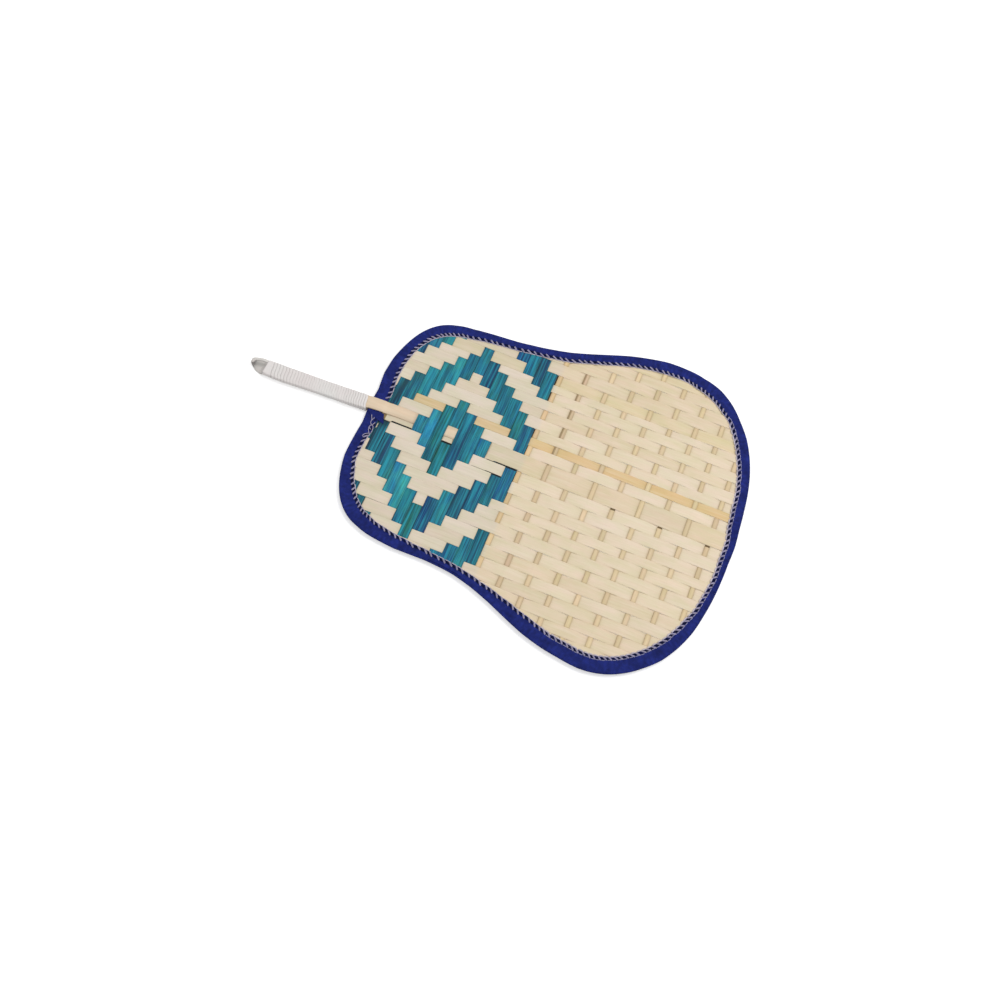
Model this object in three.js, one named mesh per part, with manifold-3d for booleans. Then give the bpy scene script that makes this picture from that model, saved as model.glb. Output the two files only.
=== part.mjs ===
import * as THREE from 'three';
import { mergeVertices } from 'three/addons/utils/BufferGeometryUtils.js';
import Module from 'manifold-3d';

// Woven bamboo hand fan. Millimetres. X runs from the hanging loop to the far end of the blade,
// Y across the blade, and Z is up, with the fan lying on its back.

// Blade outline. Distances are taken from the root edge, where the handle comes out.
const BLADE_LENGTH = 302;
const ROOT_WIDTH = 209.5;
const HEAD_WIDTH = 279.4;
const ROOT_ROUND = 60;
const ROOT_SQUARENESS = 3;
const FLARE_START = 80;
const WIDEST_PLACE = 222;
const HEAD_SQUARENESS = 2.15;

// The edge is bound by hand and wanders. This is how far it stands out from the even outline, at
// equal steps round it from the root along the left side, the head and the right side.
const EDGE_WANDER = [
  -0.9, -1.6, 0.6, 0.8, -0.3, -1.2, -2.5, -3.9, -3.8, -1.9, -0.5, 0.5, 0.2, -0.6, -0.6,
  -0.3, 0.1, -0.1, 0, -1.1, -1.6, 0, 0.6, 0.7, 1.8, 1.9, 1.6, 0.9, 0, -0.4,
  0.2, -0.4, 0, 0.6, 1.3, 2.4, 2.6, 2.4, 1, 0.4, 0.2, 0.3, -0.5, -0.3, -0.3,
  -1.1, -1.8, -1.9, -1.4, 0, 0.9, 1.1, -0.5, -1.7, -1, -0.2, 0.3, 0.7, -0.7, -2.1,
];

// Splints. They are split by hand, so their widths differ. Each list starts at the middle splint
// and goes on from its start where the blade takes more splints than it names. A splint changes
// side on a ramp in the gap between two crossings, less a margin at each end of the ramp.
const SPLINT_THICKNESS = 0.35;
const SPLINT_GAP = 0.5;
const LEAST_SPLINT_WIDTH = 4;
const WEAVE_CLEARANCE = 0.1;
const MIDDLE_SPLINT_WIDTH = 15.3;
const MIDDLE_SPLINT_OFFSET = 0.5;
const LEFT_SPLINT_WIDTHS = [9.5, 7.6, 8.6, 10, 9, 8.9, 9.4, 6.9, 10.3, 10.7, 10.3, 9.5, 9.6];
const RIGHT_SPLINT_WIDTHS = [9.9, 10.2, 9.9, 8, 9.6, 10, 10.1, 10.4, 9.3, 9.3, 9.6, 8.6, 8.9];
const DARKER_ROW = 2;
const RAMP_MARGIN_SHARE = 0.08;

// Dyed cross splints, counted from the middle of the diamond, and the plain ones beyond them, which
// are spread evenly up to a setback from the blade's far end.
const DIAMOND_CENTRE = 68.1;
const DYED_MIDDLE_WIDTH = 7.9;
const DYED_WIDTHS_TO_ROOT = [8.6, 7.5, 8.5, 8.8, 8.7, 8.3, 8.6];
const DYED_WIDTHS_TO_HEAD = [9.1, 9.3, 9.3, 9.5, 7.9, 9.2];
const TWILL_REPEAT = 6;
const TWILL_FLOAT = 3;
const NARROW_COUNT = 9;
const NARROW_WIDTH = 4;
const NARROW_HEAD_SETBACK = 17.55;

// Cloth tape folded over the edge. The fold is made by hand, so its width wanders: front widths
// at equal steps round the edge, from the root along the left side, the head and the right side.
const CLOTH_THICKNESS = 0.5;
const CLOTH_CLEARANCE = 0.1;
const EDGE_CLEARANCE = 0.3;
const FRONT_FOLD_WIDTHS = [
  11.2, 9.9, 10.7, 8.7, 9.4, 10.4, 12.4, 9.7, 9.2, 7.9, 7.3, 11.8, 12.6, 12.5, 8, 8.3, 12.1, 9.3,
];
const BACK_FOLD_WIDTH = 9.5;
const FOLD_ROUND = 0.5;
const EDGE_STEPS = 120;

// Handle: one bamboo strip bent double. The loop is measured from its tip, and what lies in the
// blade from the root edge. The legs run over the cloth, step down to the mat, and are narrowed
// to tenons where the first splints cross them.
const HANDLE_FREE_LENGTH = 98;
const HANDLE_WIDTH = 11.2;
const HANDLE_LEAN = 1.6;
const HANDLE_ROOT_OFFSET = 0.9;
const STRIP_THICKNESS = 1.4;
const LOOP_INSIDE = 4.8;
const LOOP_STRAIGHT_END = 9;
const LOOP_NECK_END = 15;
const LOOP_TIP_WIDTH = 3.1;
const LOOP_TIP_OFFSET = 2.45;
const LOOP_TIP_TAPER = 14;
const LOOP_TIP_LEFT_FULLNESS = 0.95;
const LOOP_TIP_RIGHT_FULLNESS = 0.82;
const LOOP_SLOT_ROUND = 1.6;
const TONGUE_WIDTH = 3;
const TONGUE_END = 16;
const GRIP_LEG_GAP = 0.8;
const SPREAD_LENGTH = 18;
const SPREAD_SETBACK = 4;
const LEG_EDGE_CLEARANCE = 0.1;
const STEP_CLEARANCE = 0.3;
const STEP_DOWN = 1.2;
const LEG_TIP_THICKNESS = 0.45;
const LEG_TENON_WIDTH = 8.6;
const LEG_TENON_OFFSET = -1.3;
const FRONT_LEG_IN_BLADE = 94;
const BACK_LEG_IN_BLADE = 114;

// Tape wound round both legs of the handle.
const TAPE_THICKNESS = 0.35;
const TAPE_CLEARANCE = 0.12;
const TAPE_TURNS = 24;
const TAPE_GAP = 0.45;
const TAPE_START = 13;
const TAPE_END_SETBACK = 1;

// Corners of a section, as signs in Y and Z, in the order that the tape goes round them.
const TAPE_CORNERS = [[1, 1], [-1, 1], [-1, -1], [1, -1]];
const CORNER_STEPS = 3;
const CURVE_STEPS = 5;
const BEND_STEPS = 12;
const CUT_REACH = 20;

// Heights that follow from the thicknesses, all from the middle plane of the mat.
const WEAVE_RISE = (SPLINT_THICKNESS + WEAVE_CLEARANCE) / 2;
const MAT_TOP = WEAVE_RISE + SPLINT_THICKNESS / 2;
const CLOTH_INSIDE = MAT_TOP + CLOTH_CLEARANCE;
const CLOTH_OUTSIDE = CLOTH_INSIDE + CLOTH_THICKNESS;
const LEG_OVER_EDGE = CLOTH_OUTSIDE + LEG_EDGE_CLEARANCE;
const LEG_OVER_MAT = MAT_TOP + WEAVE_CLEARANCE;
const OVER_LEG_RISE = LEG_OVER_MAT + LEG_TIP_THICKNESS + WEAVE_CLEARANCE + SPLINT_THICKNESS / 2;

// Places in the blade that follow. The back leg's shoulder is where it steps down off the cloth,
// and the front leg's is where the first splint that floats over it begins.
const ROOT_FOLD_WIDTH = Math.max(FRONT_FOLD_WIDTHS[0], BACK_FOLD_WIDTH);
const STEP_IN_BLADE = ROOT_FOLD_WIDTH - EDGE_WANDER[0] + STEP_CLEARANCE;
const FLOAT_WIDTHS = DYED_WIDTHS_TO_ROOT.slice(0, TWILL_FLOAT);
const FLOAT_START = FLOAT_WIDTHS.reduce(
  (edge, width) => edge - width,
  DIAMOND_CENTRE - DYED_MIDDLE_WIDTH / 2,
);
const FRONT_SHOULDER_IN_BLADE = FLOAT_START - SPLINT_GAP;

// The same places and the legs' ends, from the loop's tip.
const SPREAD_START = HANDLE_FREE_LENGTH - SPREAD_SETBACK - SPREAD_LENGTH;
const STEP_START = HANDLE_FREE_LENGTH + STEP_IN_BLADE;
const FRONT_SHOULDER = HANDLE_FREE_LENGTH + FRONT_SHOULDER_IN_BLADE;
const FRONT_LEG_END = HANDLE_FREE_LENGTH + FRONT_LEG_IN_BLADE;
const BACK_LEG_END = HANDLE_FREE_LENGTH + BACK_LEG_IN_BLADE;

const wasm = await Module();
wasm.setup();

// Smooth step from 0 to 1.
function ease(t) {
  return (1 - Math.cos(Math.PI * THREE.MathUtils.clamp(t, 0, 1))) / 2;
}

// Closed mesh from vertices and quads or triangles given as index lists.
function closedGeometry(points, faces) {
  const index = faces.flatMap(([a, b, c, d]) => (d === undefined ? [a, b, c] : [a, b, c, a, c, d]));
  const geometry = new THREE.BufferGeometry();
  geometry.setAttribute('position', new THREE.Float32BufferAttribute(points.flat(), 3));
  geometry.setIndex(index);
  return geometry;
}

// Rings of equal size joined side to side. The ends are capped, or the last meets the first.
function skin(rings, closed = false) {
  const size = rings[0].length;
  const faces = [];
  const last = closed ? rings.length : rings.length - 1;
  for (let i = 0; i < last; i += 1) {
    const here = i * size;
    const next = ((i + 1) % rings.length) * size;
    for (let j = 0; j < size; j += 1) {
      const k = (j + 1) % size;
      faces.push([here + j, here + k, next + k, next + j]);
    }
  }
  if (!closed) {
    const end = (rings.length - 1) * size;
    for (let j = 1; j < size - 1; j += 1) {
      faces.push([0, j + 1, j], [end, end + j, end + j + 1]);
    }
  }
  return closedGeometry(rings.flat(), faces);
}

function toSolid(geometry) {
  const bare = geometry.clone();
  bare.deleteAttribute('normal');
  bare.deleteAttribute('uv');
  const merged = mergeVertices(bare, 1e-4);
  return new wasm.Manifold(new wasm.Mesh({
    numProp: 3,
    vertProperties: new Float32Array(merged.attributes.position.array),
    triVerts: new Uint32Array(merged.index.array),
  }));
}

function toGeometry(solid) {
  const { numProp, vertProperties, triVerts } = solid.getMesh();
  const geometry = new THREE.BufferGeometry();
  const interleaved = new THREE.InterleavedBuffer(vertProperties, numProp);
  geometry.setAttribute('position', new THREE.InterleavedBufferAttribute(interleaved, 3, 0));
  geometry.setIndex(new THREE.BufferAttribute(triVerts, 1));
  const faceted = geometry.toNonIndexed();
  faceted.computeVertexNormals();
  return faceted;
}

// Upright prism on an outline in the plane of the mat.
function prism(shape, bottom, top) {
  const options = { depth: top - bottom, bevelEnabled: false, curveSegments: CURVE_STEPS };
  return toSolid(new THREE.ExtrudeGeometry(shape, options).translate(0, 0, bottom));
}

function polygon(points) {
  return new THREE.Shape(points.map(([x, y]) => new THREE.Vector2(x, y)));
}

function part(name, solid, material) {
  const mesh = new THREE.Mesh(toGeometry(solid), material);
  mesh.name = name;
  return mesh;
}

function finish(color, roughness) {
  return new THREE.MeshStandardMaterial({ color, roughness, metalness: 0 });
}

// The blade's edge: a squared round at the root, a slow flare, and a fuller round at the head.
// It starts at the root, runs along the left side to the far end and comes back on the right.
class BladeEdge extends THREE.Curve {
  getPoint(t, target = new THREE.Vector3()) {
    const side = t < 0.5 ? 1 : -1;
    const way = side > 0 ? 2 * t : 2 - 2 * t;
    const [x, y] = BladeEdge.half(way);
    return target.set(x, side * y, 0);
  }

  static half(way) {
    const rootEnd = 0.3;
    const headStart = 0.6;
    if (way < rootEnd) {
      const turn = (way / rootEnd) * Math.PI / 2;
      const power = 2 / ROOT_SQUARENESS;
      return [
        ROOT_ROUND * (1 - Math.cos(turn) ** power),
        (ROOT_WIDTH / 2) * Math.sin(turn) ** power,
      ];
    }
    if (way < headStart) {
      const x = THREE.MathUtils.mapLinear(way, rootEnd, headStart, ROOT_ROUND, WIDEST_PLACE);
      const flare = ease((x - FLARE_START) / (WIDEST_PLACE - FLARE_START));
      return [x, THREE.MathUtils.lerp(ROOT_WIDTH, HEAD_WIDTH, flare) / 2];
    }
    const turn = THREE.MathUtils.mapLinear(way, headStart, 1, 0, Math.PI / 2);
    const power = 2 / HEAD_SQUARENESS;
    return [
      WIDEST_PLACE + (BLADE_LENGTH - WIDEST_PLACE) * Math.sin(turn) ** power,
      (HEAD_WIDTH / 2) * Math.max(Math.cos(turn), 0) ** power,
    ];
  }
}

// The two values of a list on either side of a share of the way round the edge, and how far the
// share lies between them.
function neighbours(values, share) {
  const place = share * values.length;
  const last = Math.floor(place);
  return [values[last % values.length], values[(last + 1) % values.length], place - last];
}

// Places round the edge, evenly spaced, each with its inward direction.
function edgeStations() {
  const edge = new BladeEdge();
  edge.arcLengthDivisions = 2000;
  return Array.from({ length: EDGE_STEPS }, (_, i) => {
    const share = i / EDGE_STEPS;
    const point = edge.getPointAt(share);
    const along = edge.getTangentAt(share);
    const [inX, inY] = [along.y, -along.x];
    const out = THREE.MathUtils.lerp(...neighbours(EDGE_WANDER, share));
    return { share, x: point.x - inX * out, y: point.y - inY * out, inX, inY };
  });
}

const stations = edgeStations();

function matPrism() {
  const inset = CLOTH_THICKNESS + EDGE_CLEARANCE;
  const outline = stations.map(({ x, y, inX, inY }) => [x + inX * inset, y + inY * inset]);
  return prism(polygon(outline), -CUT_REACH, CUT_REACH);
}

// Folded cloth: front flap, the fold round the mat's edge, and the back flap, as one section.
function foldSection(frontWidth) {
  const round = FOLD_ROUND;
  const edge = CLOTH_OUTSIDE - round;
  return [
    [frontWidth, CLOTH_INSIDE], [CLOTH_THICKNESS, CLOTH_INSIDE], [CLOTH_THICKNESS, -CLOTH_INSIDE],
    [BACK_FOLD_WIDTH, -CLOTH_INSIDE], [BACK_FOLD_WIDTH, -CLOTH_OUTSIDE], [round, -CLOTH_OUTSIDE],
    [0, -edge], [0, edge], [round, CLOTH_OUTSIDE], [frontWidth, CLOTH_OUTSIDE],
  ];
}

function frontFoldWidth(share) {
  const [from, to, between] = neighbours(FRONT_FOLD_WIDTHS, share);
  return THREE.MathUtils.lerp(from, to, ease(between));
}

function edgeBinding() {
  const rings = stations.map(({ share, x, y, inX, inY }) => foldSection(frontFoldWidth(share))
    .map(([inward, z]) => [x + inX * inward, y + inY * inward, z]));
  return toSolid(skin(rings, true));
}

// Lengthwise splints from the middle out to the widest place, with their edges in Y.
function splintRows() {
  const half = MIDDLE_SPLINT_WIDTH / 2;
  const middle = { row: 0, name: 'long_splint_middle' };
  const rows = [{ ...middle, low: MIDDLE_SPLINT_OFFSET - half, high: MIDDLE_SPLINT_OFFSET + half }];
  const leastOut = Math.min(...EDGE_WANDER);
  const reach = HEAD_WIDTH / 2 + leastOut - CLOTH_THICKNESS - EDGE_CLEARANCE - LEAST_SPLINT_WIDTH;
  const addSide = (side, word, widths) => {
    let edge = MIDDLE_SPLINT_OFFSET + side * half;
    for (let i = 0; Math.abs(edge) < reach; i += 1) {
      const width = widths[i % widths.length];
      const near = edge + side * SPLINT_GAP;
      edge += side * width;
      const name = `long_splint_${word}_${String(i + 1).padStart(2, '0')}`;
      rows.push({ row: side * (i + 1), name, low: Math.min(near, edge), high: Math.max(near, edge) });
    }
  };
  addSide(1, 'left', LEFT_SPLINT_WIDTHS);
  addSide(-1, 'right', RIGHT_SPLINT_WIDTHS);
  return rows.sort((a, b) => a.low - b.low);
}

// Dyed cross splints float over three and under three, stepped towards the middle as a diamond.
function dyedOnTop(column, row) {
  const step = (Math.abs(column) + Math.abs(row)) % TWILL_REPEAT;
  return step >= 1 && step <= TWILL_FLOAT;
}

// Cross splints from the root to the head, with their edges in X from the root edge.
function splintColumns() {
  const columns = [];
  const add = (column, low, high) => columns.push({
    column, low, high, dyed: true, onTop: (row) => dyedOnTop(column, row),
  });
  const half = DYED_MIDDLE_WIDTH / 2;
  add(0, DIAMOND_CENTRE - half, DIAMOND_CENTRE + half);
  let edge = DIAMOND_CENTRE - half;
  DYED_WIDTHS_TO_ROOT.forEach((width, i) => {
    add(-1 - i, edge - width, edge - SPLINT_GAP);
    edge -= width;
  });
  edge = DIAMOND_CENTRE + half;
  DYED_WIDTHS_TO_HEAD.forEach((width, i) => {
    add(1 + i, edge + SPLINT_GAP, edge + width);
    edge += width;
  });
  const first = edge + SPLINT_GAP;
  const last = BLADE_LENGTH - NARROW_HEAD_SETBACK - NARROW_WIDTH;
  for (let k = 0; k < NARROW_COUNT; k += 1) {
    const low = THREE.MathUtils.lerp(first, last, k / (NARROW_COUNT - 1));
    const onTop = (row) => (Math.abs(row) + k) % 2 === 1;
    columns.push({ column: k, low, high: low + NARROW_WIDTH, dyed: false, onTop });
  }
  columns.sort((a, b) => a.low - b.low);
  const counts = { dyed: 0, plain: 0 };
  columns.forEach((item) => {
    const kind = item.dyed ? 'dyed' : 'plain';
    counts[kind] += 1;
    item.name = `${kind}_cross_splint_${String(counts[kind]).padStart(2, '0')}`;
  });
  return columns;
}

// Heights along a splint: level over each crossing, and a ramp in the gap wherever it changes side.
function heightStations(crossings, start, end) {
  const found = [[start, crossings[0].z]];
  crossings.slice(1).forEach((next, i) => {
    const last = crossings[i];
    if (last.z === next.z) {
      return;
    }
    const margin = (next.low - last.high) * RAMP_MARGIN_SHARE;
    found.push([last.high + margin, last.z], [next.low - margin, next.z]);
  });
  found.push([end, crossings.at(-1).z]);
  return found;
}

// A flat splint with the middle line `centre`. Lengthwise ones run in X and cross ones in Y.
function splint(heights, low, high, lengthwise) {
  const half = SPLINT_THICKNESS / 2;
  const rings = heights.map(([along, z]) => [[low, -half], [high, -half], [high, half], [low, half]]
    .map(([across, up]) => (lengthwise ? [along, across, z + up] : [across, along, z + up])));
  return toSolid(skin(lengthwise ? rings : rings.reverse()));
}

// The narrowed end of a leg in the weave, as edges in Y at a distance from the root edge.
function tenonSpan(x) {
  const slope = Math.tan(THREE.MathUtils.degToRad(HANDLE_LEAN));
  const centre = HANDLE_ROOT_OFFSET + LEG_TENON_OFFSET + x * slope;
  const half = LEG_TENON_WIDTH / 2 + 2 * WEAVE_CLEARANCE;
  return { low: centre - half, high: centre + half };
}

// A cross splint over the middle one. Where a leg lies on that side, the splint rises over it.
function middleCrossings(item, row, columnZ) {
  const onTop = item.onTop(0);
  const legEnd = onTop ? FRONT_LEG_IN_BLADE : BACK_LEG_IN_BLADE;
  const legStart = onTop ? FRONT_SHOULDER_IN_BLADE : STEP_IN_BLADE;
  const middle = (item.low + item.high) / 2;
  if (item.low > legEnd || middle < legStart) {
    return [{ low: row.low, high: row.high, z: columnZ }];
  }
  const leg = tenonSpan(middle);
  return [
    { low: row.low, high: row.low, z: columnZ },
    { low: leg.low, high: leg.high, z: Math.sign(columnZ) * OVER_LEG_RISE },
    { low: row.high, high: row.high, z: columnZ },
  ];
}

// What the mat's outline leaves of a splint. Where it cuts one in two, the larger piece stays.
function trimmed(solid, mat) {
  const pieces = solid.intersect(mat).decompose();
  return pieces.sort((a, b) => b.volume() - a.volume())[0];
}

function wovenMat(rows, columns, materials) {
  const mat = matPrism();
  const meshes = rows.map((row) => {
    const crossings = columns.map((item) => {
      const z = item.onTop(row.row) ? -WEAVE_RISE : WEAVE_RISE;
      return { low: item.low, high: item.high, z };
    });
    const heights = heightStations(crossings, -CUT_REACH, BLADE_LENGTH + CUT_REACH);
    const colour = row.row === DARKER_ROW ? materials.tan : materials.plain;
    return part(row.name, trimmed(splint(heights, row.low, row.high, true), mat), colour);
  });
  columns.forEach((item) => {
    const crossings = rows.flatMap((row) => {
      const z = item.onTop(row.row) ? WEAVE_RISE : -WEAVE_RISE;
      return row.row === 0 ? middleCrossings(item, row, z) : [{ low: row.low, high: row.high, z }];
    });
    const heights = heightStations(crossings, -HEAD_WIDTH, HEAD_WIDTH);
    const colour = item.dyed ? materials.dyed : materials.tan;
    meshes.push(part(item.name, trimmed(splint(heights, item.low, item.high, false), mat), colour));
  });
  return meshes;
}

// Height of a leg's inner face above the middle plane, at a distance from the loop's tip.
function legInside(x) {
  const loop = LOOP_INSIDE / 2;
  const grip = GRIP_LEG_GAP / 2;
  const neck = ease((x - LOOP_STRAIGHT_END) / (LOOP_NECK_END - LOOP_STRAIGHT_END));
  const spread = ease((x - SPREAD_START) / SPREAD_LENGTH);
  const down = THREE.MathUtils.clamp((x - STEP_START) / STEP_DOWN, 0, 1);
  const outOfLoop = THREE.MathUtils.lerp(loop, grip, neck);
  return outOfLoop + (LEG_OVER_EDGE - grip) * spread + (LEG_OVER_MAT - LEG_OVER_EDGE) * down;
}

// The strip is shaved thinner from the blade's root to its shoulder.
function legThickness(x, shoulder) {
  const shaved = (x - HANDLE_FREE_LENGTH) / (shoulder - HANDLE_FREE_LENGTH);
  const share = THREE.MathUtils.clamp(shaved, 0, 1);
  return THREE.MathUtils.lerp(STRIP_THICKNESS, LEG_TIP_THICKNESS, share);
}

function legOutside(x, shoulder) {
  return legInside(x) + legThickness(x, shoulder);
}

// Distances along a leg where its face changes slope or curves.
function legPlaces(end) {
  const places = [HANDLE_FREE_LENGTH, STEP_START, STEP_START + STEP_DOWN, FRONT_SHOULDER, end];
  for (let i = 0; i <= CURVE_STEPS; i += 1) {
    const share = i / CURVE_STEPS;
    places.push(THREE.MathUtils.lerp(LOOP_STRAIGHT_END, LOOP_NECK_END, share));
    places.push(SPREAD_START + SPREAD_LENGTH * share);
  }
  return places.sort((a, b) => a - b);
}

// Side view of the strip bent double, as a closed outline in X and Z.
function handleProfile() {
  const bendCentre = STRIP_THICKNESS + LOOP_INSIDE / 2;
  const front = legPlaces(FRONT_LEG_END);
  const back = legPlaces(BACK_LEG_END);
  const bend = (radius) => Array.from({ length: BEND_STEPS + 1 }, (_, i) => {
    const turn = Math.PI / 2 + (Math.PI * i) / BEND_STEPS;
    return [bendCentre + radius * Math.cos(turn), radius * Math.sin(turn)];
  });
  return [
    ...front.toReversed().map((x) => [x, legOutside(x, FRONT_SHOULDER)]),
    ...bend(STRIP_THICKNESS + LOOP_INSIDE / 2),
    ...back.map((x) => [x, -legOutside(x, STEP_START)]),
    ...back.toReversed().map((x) => [x, -legInside(x)]),
    ...bend(LOOP_INSIDE / 2).toReversed(),
    ...front.map((x) => [x, legInside(x)]),
  ];
}

// One side of the loop's tip. It is cut to a rounded point that lies on the tongue's side.
function tipCut(side) {
  const half = HANDLE_WIDTH / 2;
  const tip = LOOP_TIP_OFFSET + side * LOOP_TIP_WIDTH / 2;
  const full = side * half * (side > 0 ? LOOP_TIP_LEFT_FULLNESS : LOOP_TIP_RIGHT_FULLNESS);
  const shape = new THREE.Shape();
  shape.moveTo(-CUT_REACH, tip);
  shape.lineTo(0, tip);
  shape.quadraticCurveTo(LOOP_TIP_TAPER / 3, full, LOOP_TIP_TAPER, side * half);
  shape.lineTo(LOOP_TIP_TAPER, side * HANDLE_WIDTH);
  shape.lineTo(-CUT_REACH, side * HANDLE_WIDTH);
  return prism(shape, -CUT_REACH, CUT_REACH);
}

// The front of the loop is whittled to a tongue that stays along one edge.
function tongueCut() {
  const half = HANDLE_WIDTH / 2;
  const inner = half - TONGUE_WIDTH;
  const start = STRIP_THICKNESS + LOOP_INSIDE / 2;
  const shape = new THREE.Shape();
  shape.moveTo(start, -HANDLE_WIDTH);
  shape.lineTo(TONGUE_END + half, -HANDLE_WIDTH);
  shape.lineTo(TONGUE_END + half, -half);
  shape.lineTo(TONGUE_END, inner);
  shape.lineTo(start + LOOP_SLOT_ROUND, inner);
  shape.quadraticCurveTo(start, inner, start, inner - LOOP_SLOT_ROUND);
  return prism(shape, 0, CUT_REACH);
}

// Beside the tenon of one leg, from its shoulder to its end.
function shoulderCut(side, shoulder, bottom, top) {
  const near = LEG_TENON_OFFSET + side * LEG_TENON_WIDTH / 2;
  const far = side * HANDLE_WIDTH;
  const end = Math.max(FRONT_LEG_END, BACK_LEG_END) + CUT_REACH;
  return prism(polygon([[shoulder, near], [end, near], [end, far], [shoulder, far]]), bottom, top);
}

function handleStrip() {
  const profile = polygon(handleProfile());
  const blank = new THREE.ExtrudeGeometry(profile, { depth: HANDLE_WIDTH, bevelEnabled: false })
    .rotateX(Math.PI / 2).translate(0, HANDLE_WIDTH / 2, 0);
  let solid = toSolid(blank).subtract(tongueCut());
  [1, -1].forEach((side) => {
    solid = solid.subtract(tipCut(side))
      .subtract(shoulderCut(side, FRONT_SHOULDER, 0, CUT_REACH))
      .subtract(shoulderCut(side, STEP_START, -CUT_REACH, 0));
  });
  return solid;
}

// A point of the tape where it turns round one corner of the two legs, `out` from its middle.
function tapePoint(corner, step, x, out) {
  const [signY, signZ] = TAPE_CORNERS[corner];
  const turn = (corner + step / (CORNER_STEPS - 1)) * Math.PI / 2;
  const reach = TAPE_CLEARANCE + TAPE_THICKNESS / 2 + out;
  return [
    x,
    signY * HANDLE_WIDTH / 2 + reach * Math.cos(turn),
    signZ * legOutside(x, FRONT_SHOULDER) + reach * Math.sin(turn),
  ];
}

function gripTape() {
  const end = HANDLE_FREE_LENGTH - TAPE_END_SETBACK;
  const pitch = (end - TAPE_START + TAPE_GAP) / (TAPE_TURNS + 1);
  const width = pitch - TAPE_GAP;
  const half = TAPE_THICKNESS / 2;
  const across = HANDLE_WIDTH;
  const turnSteps = TAPE_CORNERS.length * CORNER_STEPS;
  const rings = [];
  for (let i = 0; i <= TAPE_TURNS * turnSteps; i += 1) {
    const corner = Math.floor(i / CORNER_STEPS) % TAPE_CORNERS.length;
    const step = i % CORNER_STEPS;
    const round = Math.floor(i / turnSteps);
    const depth = 2 * legOutside(TAPE_START + round * pitch, FRONT_SHOULDER);
    const gone = [0, across, across + depth, 2 * across + depth][corner];
    const x = TAPE_START + width / 2 + pitch * (round + gone / (2 * across + 2 * depth));
    rings.push([[-width / 2, -half], [width / 2, -half], [width / 2, half], [-width / 2, half]]
      .map(([along, out]) => tapePoint(corner, step, x + along, out)));
  }
  console.log(`least gap between turns of the grip tape: ${leastGap(rings, turnSteps).toFixed(3)} mm`);
  return toSolid(skin(rings));
}

// Least distance between points of the tape that lie about a turn or more apart.
function leastGap(rings, turnSteps) {
  let least = Infinity;
  rings.forEach((ring, i) => {
    for (let j = i + turnSteps - 2; j < Math.min(rings.length, i + 2 * turnSteps); j += 1) {
      ring.forEach(([x, y, z]) => rings[j].forEach(([otherX, otherY, otherZ]) => {
        least = Math.min(least, Math.hypot(x - otherX, y - otherY, z - otherZ));
      }));
    }
  });
  return least;
}

function buildFan() {
  const materials = {
    plain: finish('#e8d8b8', 0.55),
    tan: finish('#e3c595', 0.55),
    dyed: finish('#1c7a92', 0.5),
    strip: finish('#e0c8a0', 0.5),
    cloth: finish('#1f2a86', 0.9),
    tape: finish('#dcd6d6', 0.35),
  };
  const blade = new THREE.Group();
  blade.add(...wovenMat(splintRows(), splintColumns(), materials));
  blade.add(part('edge_binding', edgeBinding(), materials.cloth));

  const handle = new THREE.Group();
  handle.add(part('handle_strip', handleStrip(), materials.strip));
  handle.add(part('grip_tape', gripTape(), materials.tape));
  const lean = THREE.MathUtils.degToRad(HANDLE_LEAN);
  handle.rotation.z = lean;
  const tipX = -HANDLE_FREE_LENGTH * Math.cos(lean);
  const tipY = HANDLE_ROOT_OFFSET - HANDLE_FREE_LENGTH * Math.sin(lean);
  handle.position.set(tipX, tipY, 0);

  const fan = new THREE.Group();
  fan.add(blade, handle);
  return fan;
}

// The fan lies on its back, with its origin under the middle of its bounding box.
const fan = buildFan();
const box = new THREE.Box3().setFromObject(fan);
const middle = box.getCenter(new THREE.Vector3());
fan.position.set(-middle.x, -middle.y, -box.min.z);

export default fan;
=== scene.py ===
import math
import random

import bmesh
import bpy
from bpy.props import FloatProperty, FloatVectorProperty, IntProperty, PointerProperty
from mathutils import Matrix, Vector, noise


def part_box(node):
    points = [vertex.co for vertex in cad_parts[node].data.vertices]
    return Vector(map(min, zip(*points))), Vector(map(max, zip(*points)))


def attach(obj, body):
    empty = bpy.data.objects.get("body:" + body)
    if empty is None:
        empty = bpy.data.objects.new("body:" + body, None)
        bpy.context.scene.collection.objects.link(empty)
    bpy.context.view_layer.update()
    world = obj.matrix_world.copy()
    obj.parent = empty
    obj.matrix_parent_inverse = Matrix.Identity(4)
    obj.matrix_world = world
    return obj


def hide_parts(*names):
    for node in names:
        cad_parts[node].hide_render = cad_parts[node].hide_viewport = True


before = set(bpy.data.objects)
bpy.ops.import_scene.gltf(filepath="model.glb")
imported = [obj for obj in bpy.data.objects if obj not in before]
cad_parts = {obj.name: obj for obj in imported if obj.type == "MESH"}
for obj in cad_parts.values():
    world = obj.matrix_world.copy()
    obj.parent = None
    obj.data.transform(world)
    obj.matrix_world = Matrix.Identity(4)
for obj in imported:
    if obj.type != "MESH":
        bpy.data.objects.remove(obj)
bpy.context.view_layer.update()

bl_info = {
    "name": "Woven hand fan",
    "version": (1, 0, 0),
    "blender": (4, 5, 0),
    "location": "View3D > Sidebar > Fan",
    "description": "Builds a woven bamboo hand fan piece by piece",
    "category": "Add Mesh",
}

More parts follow.
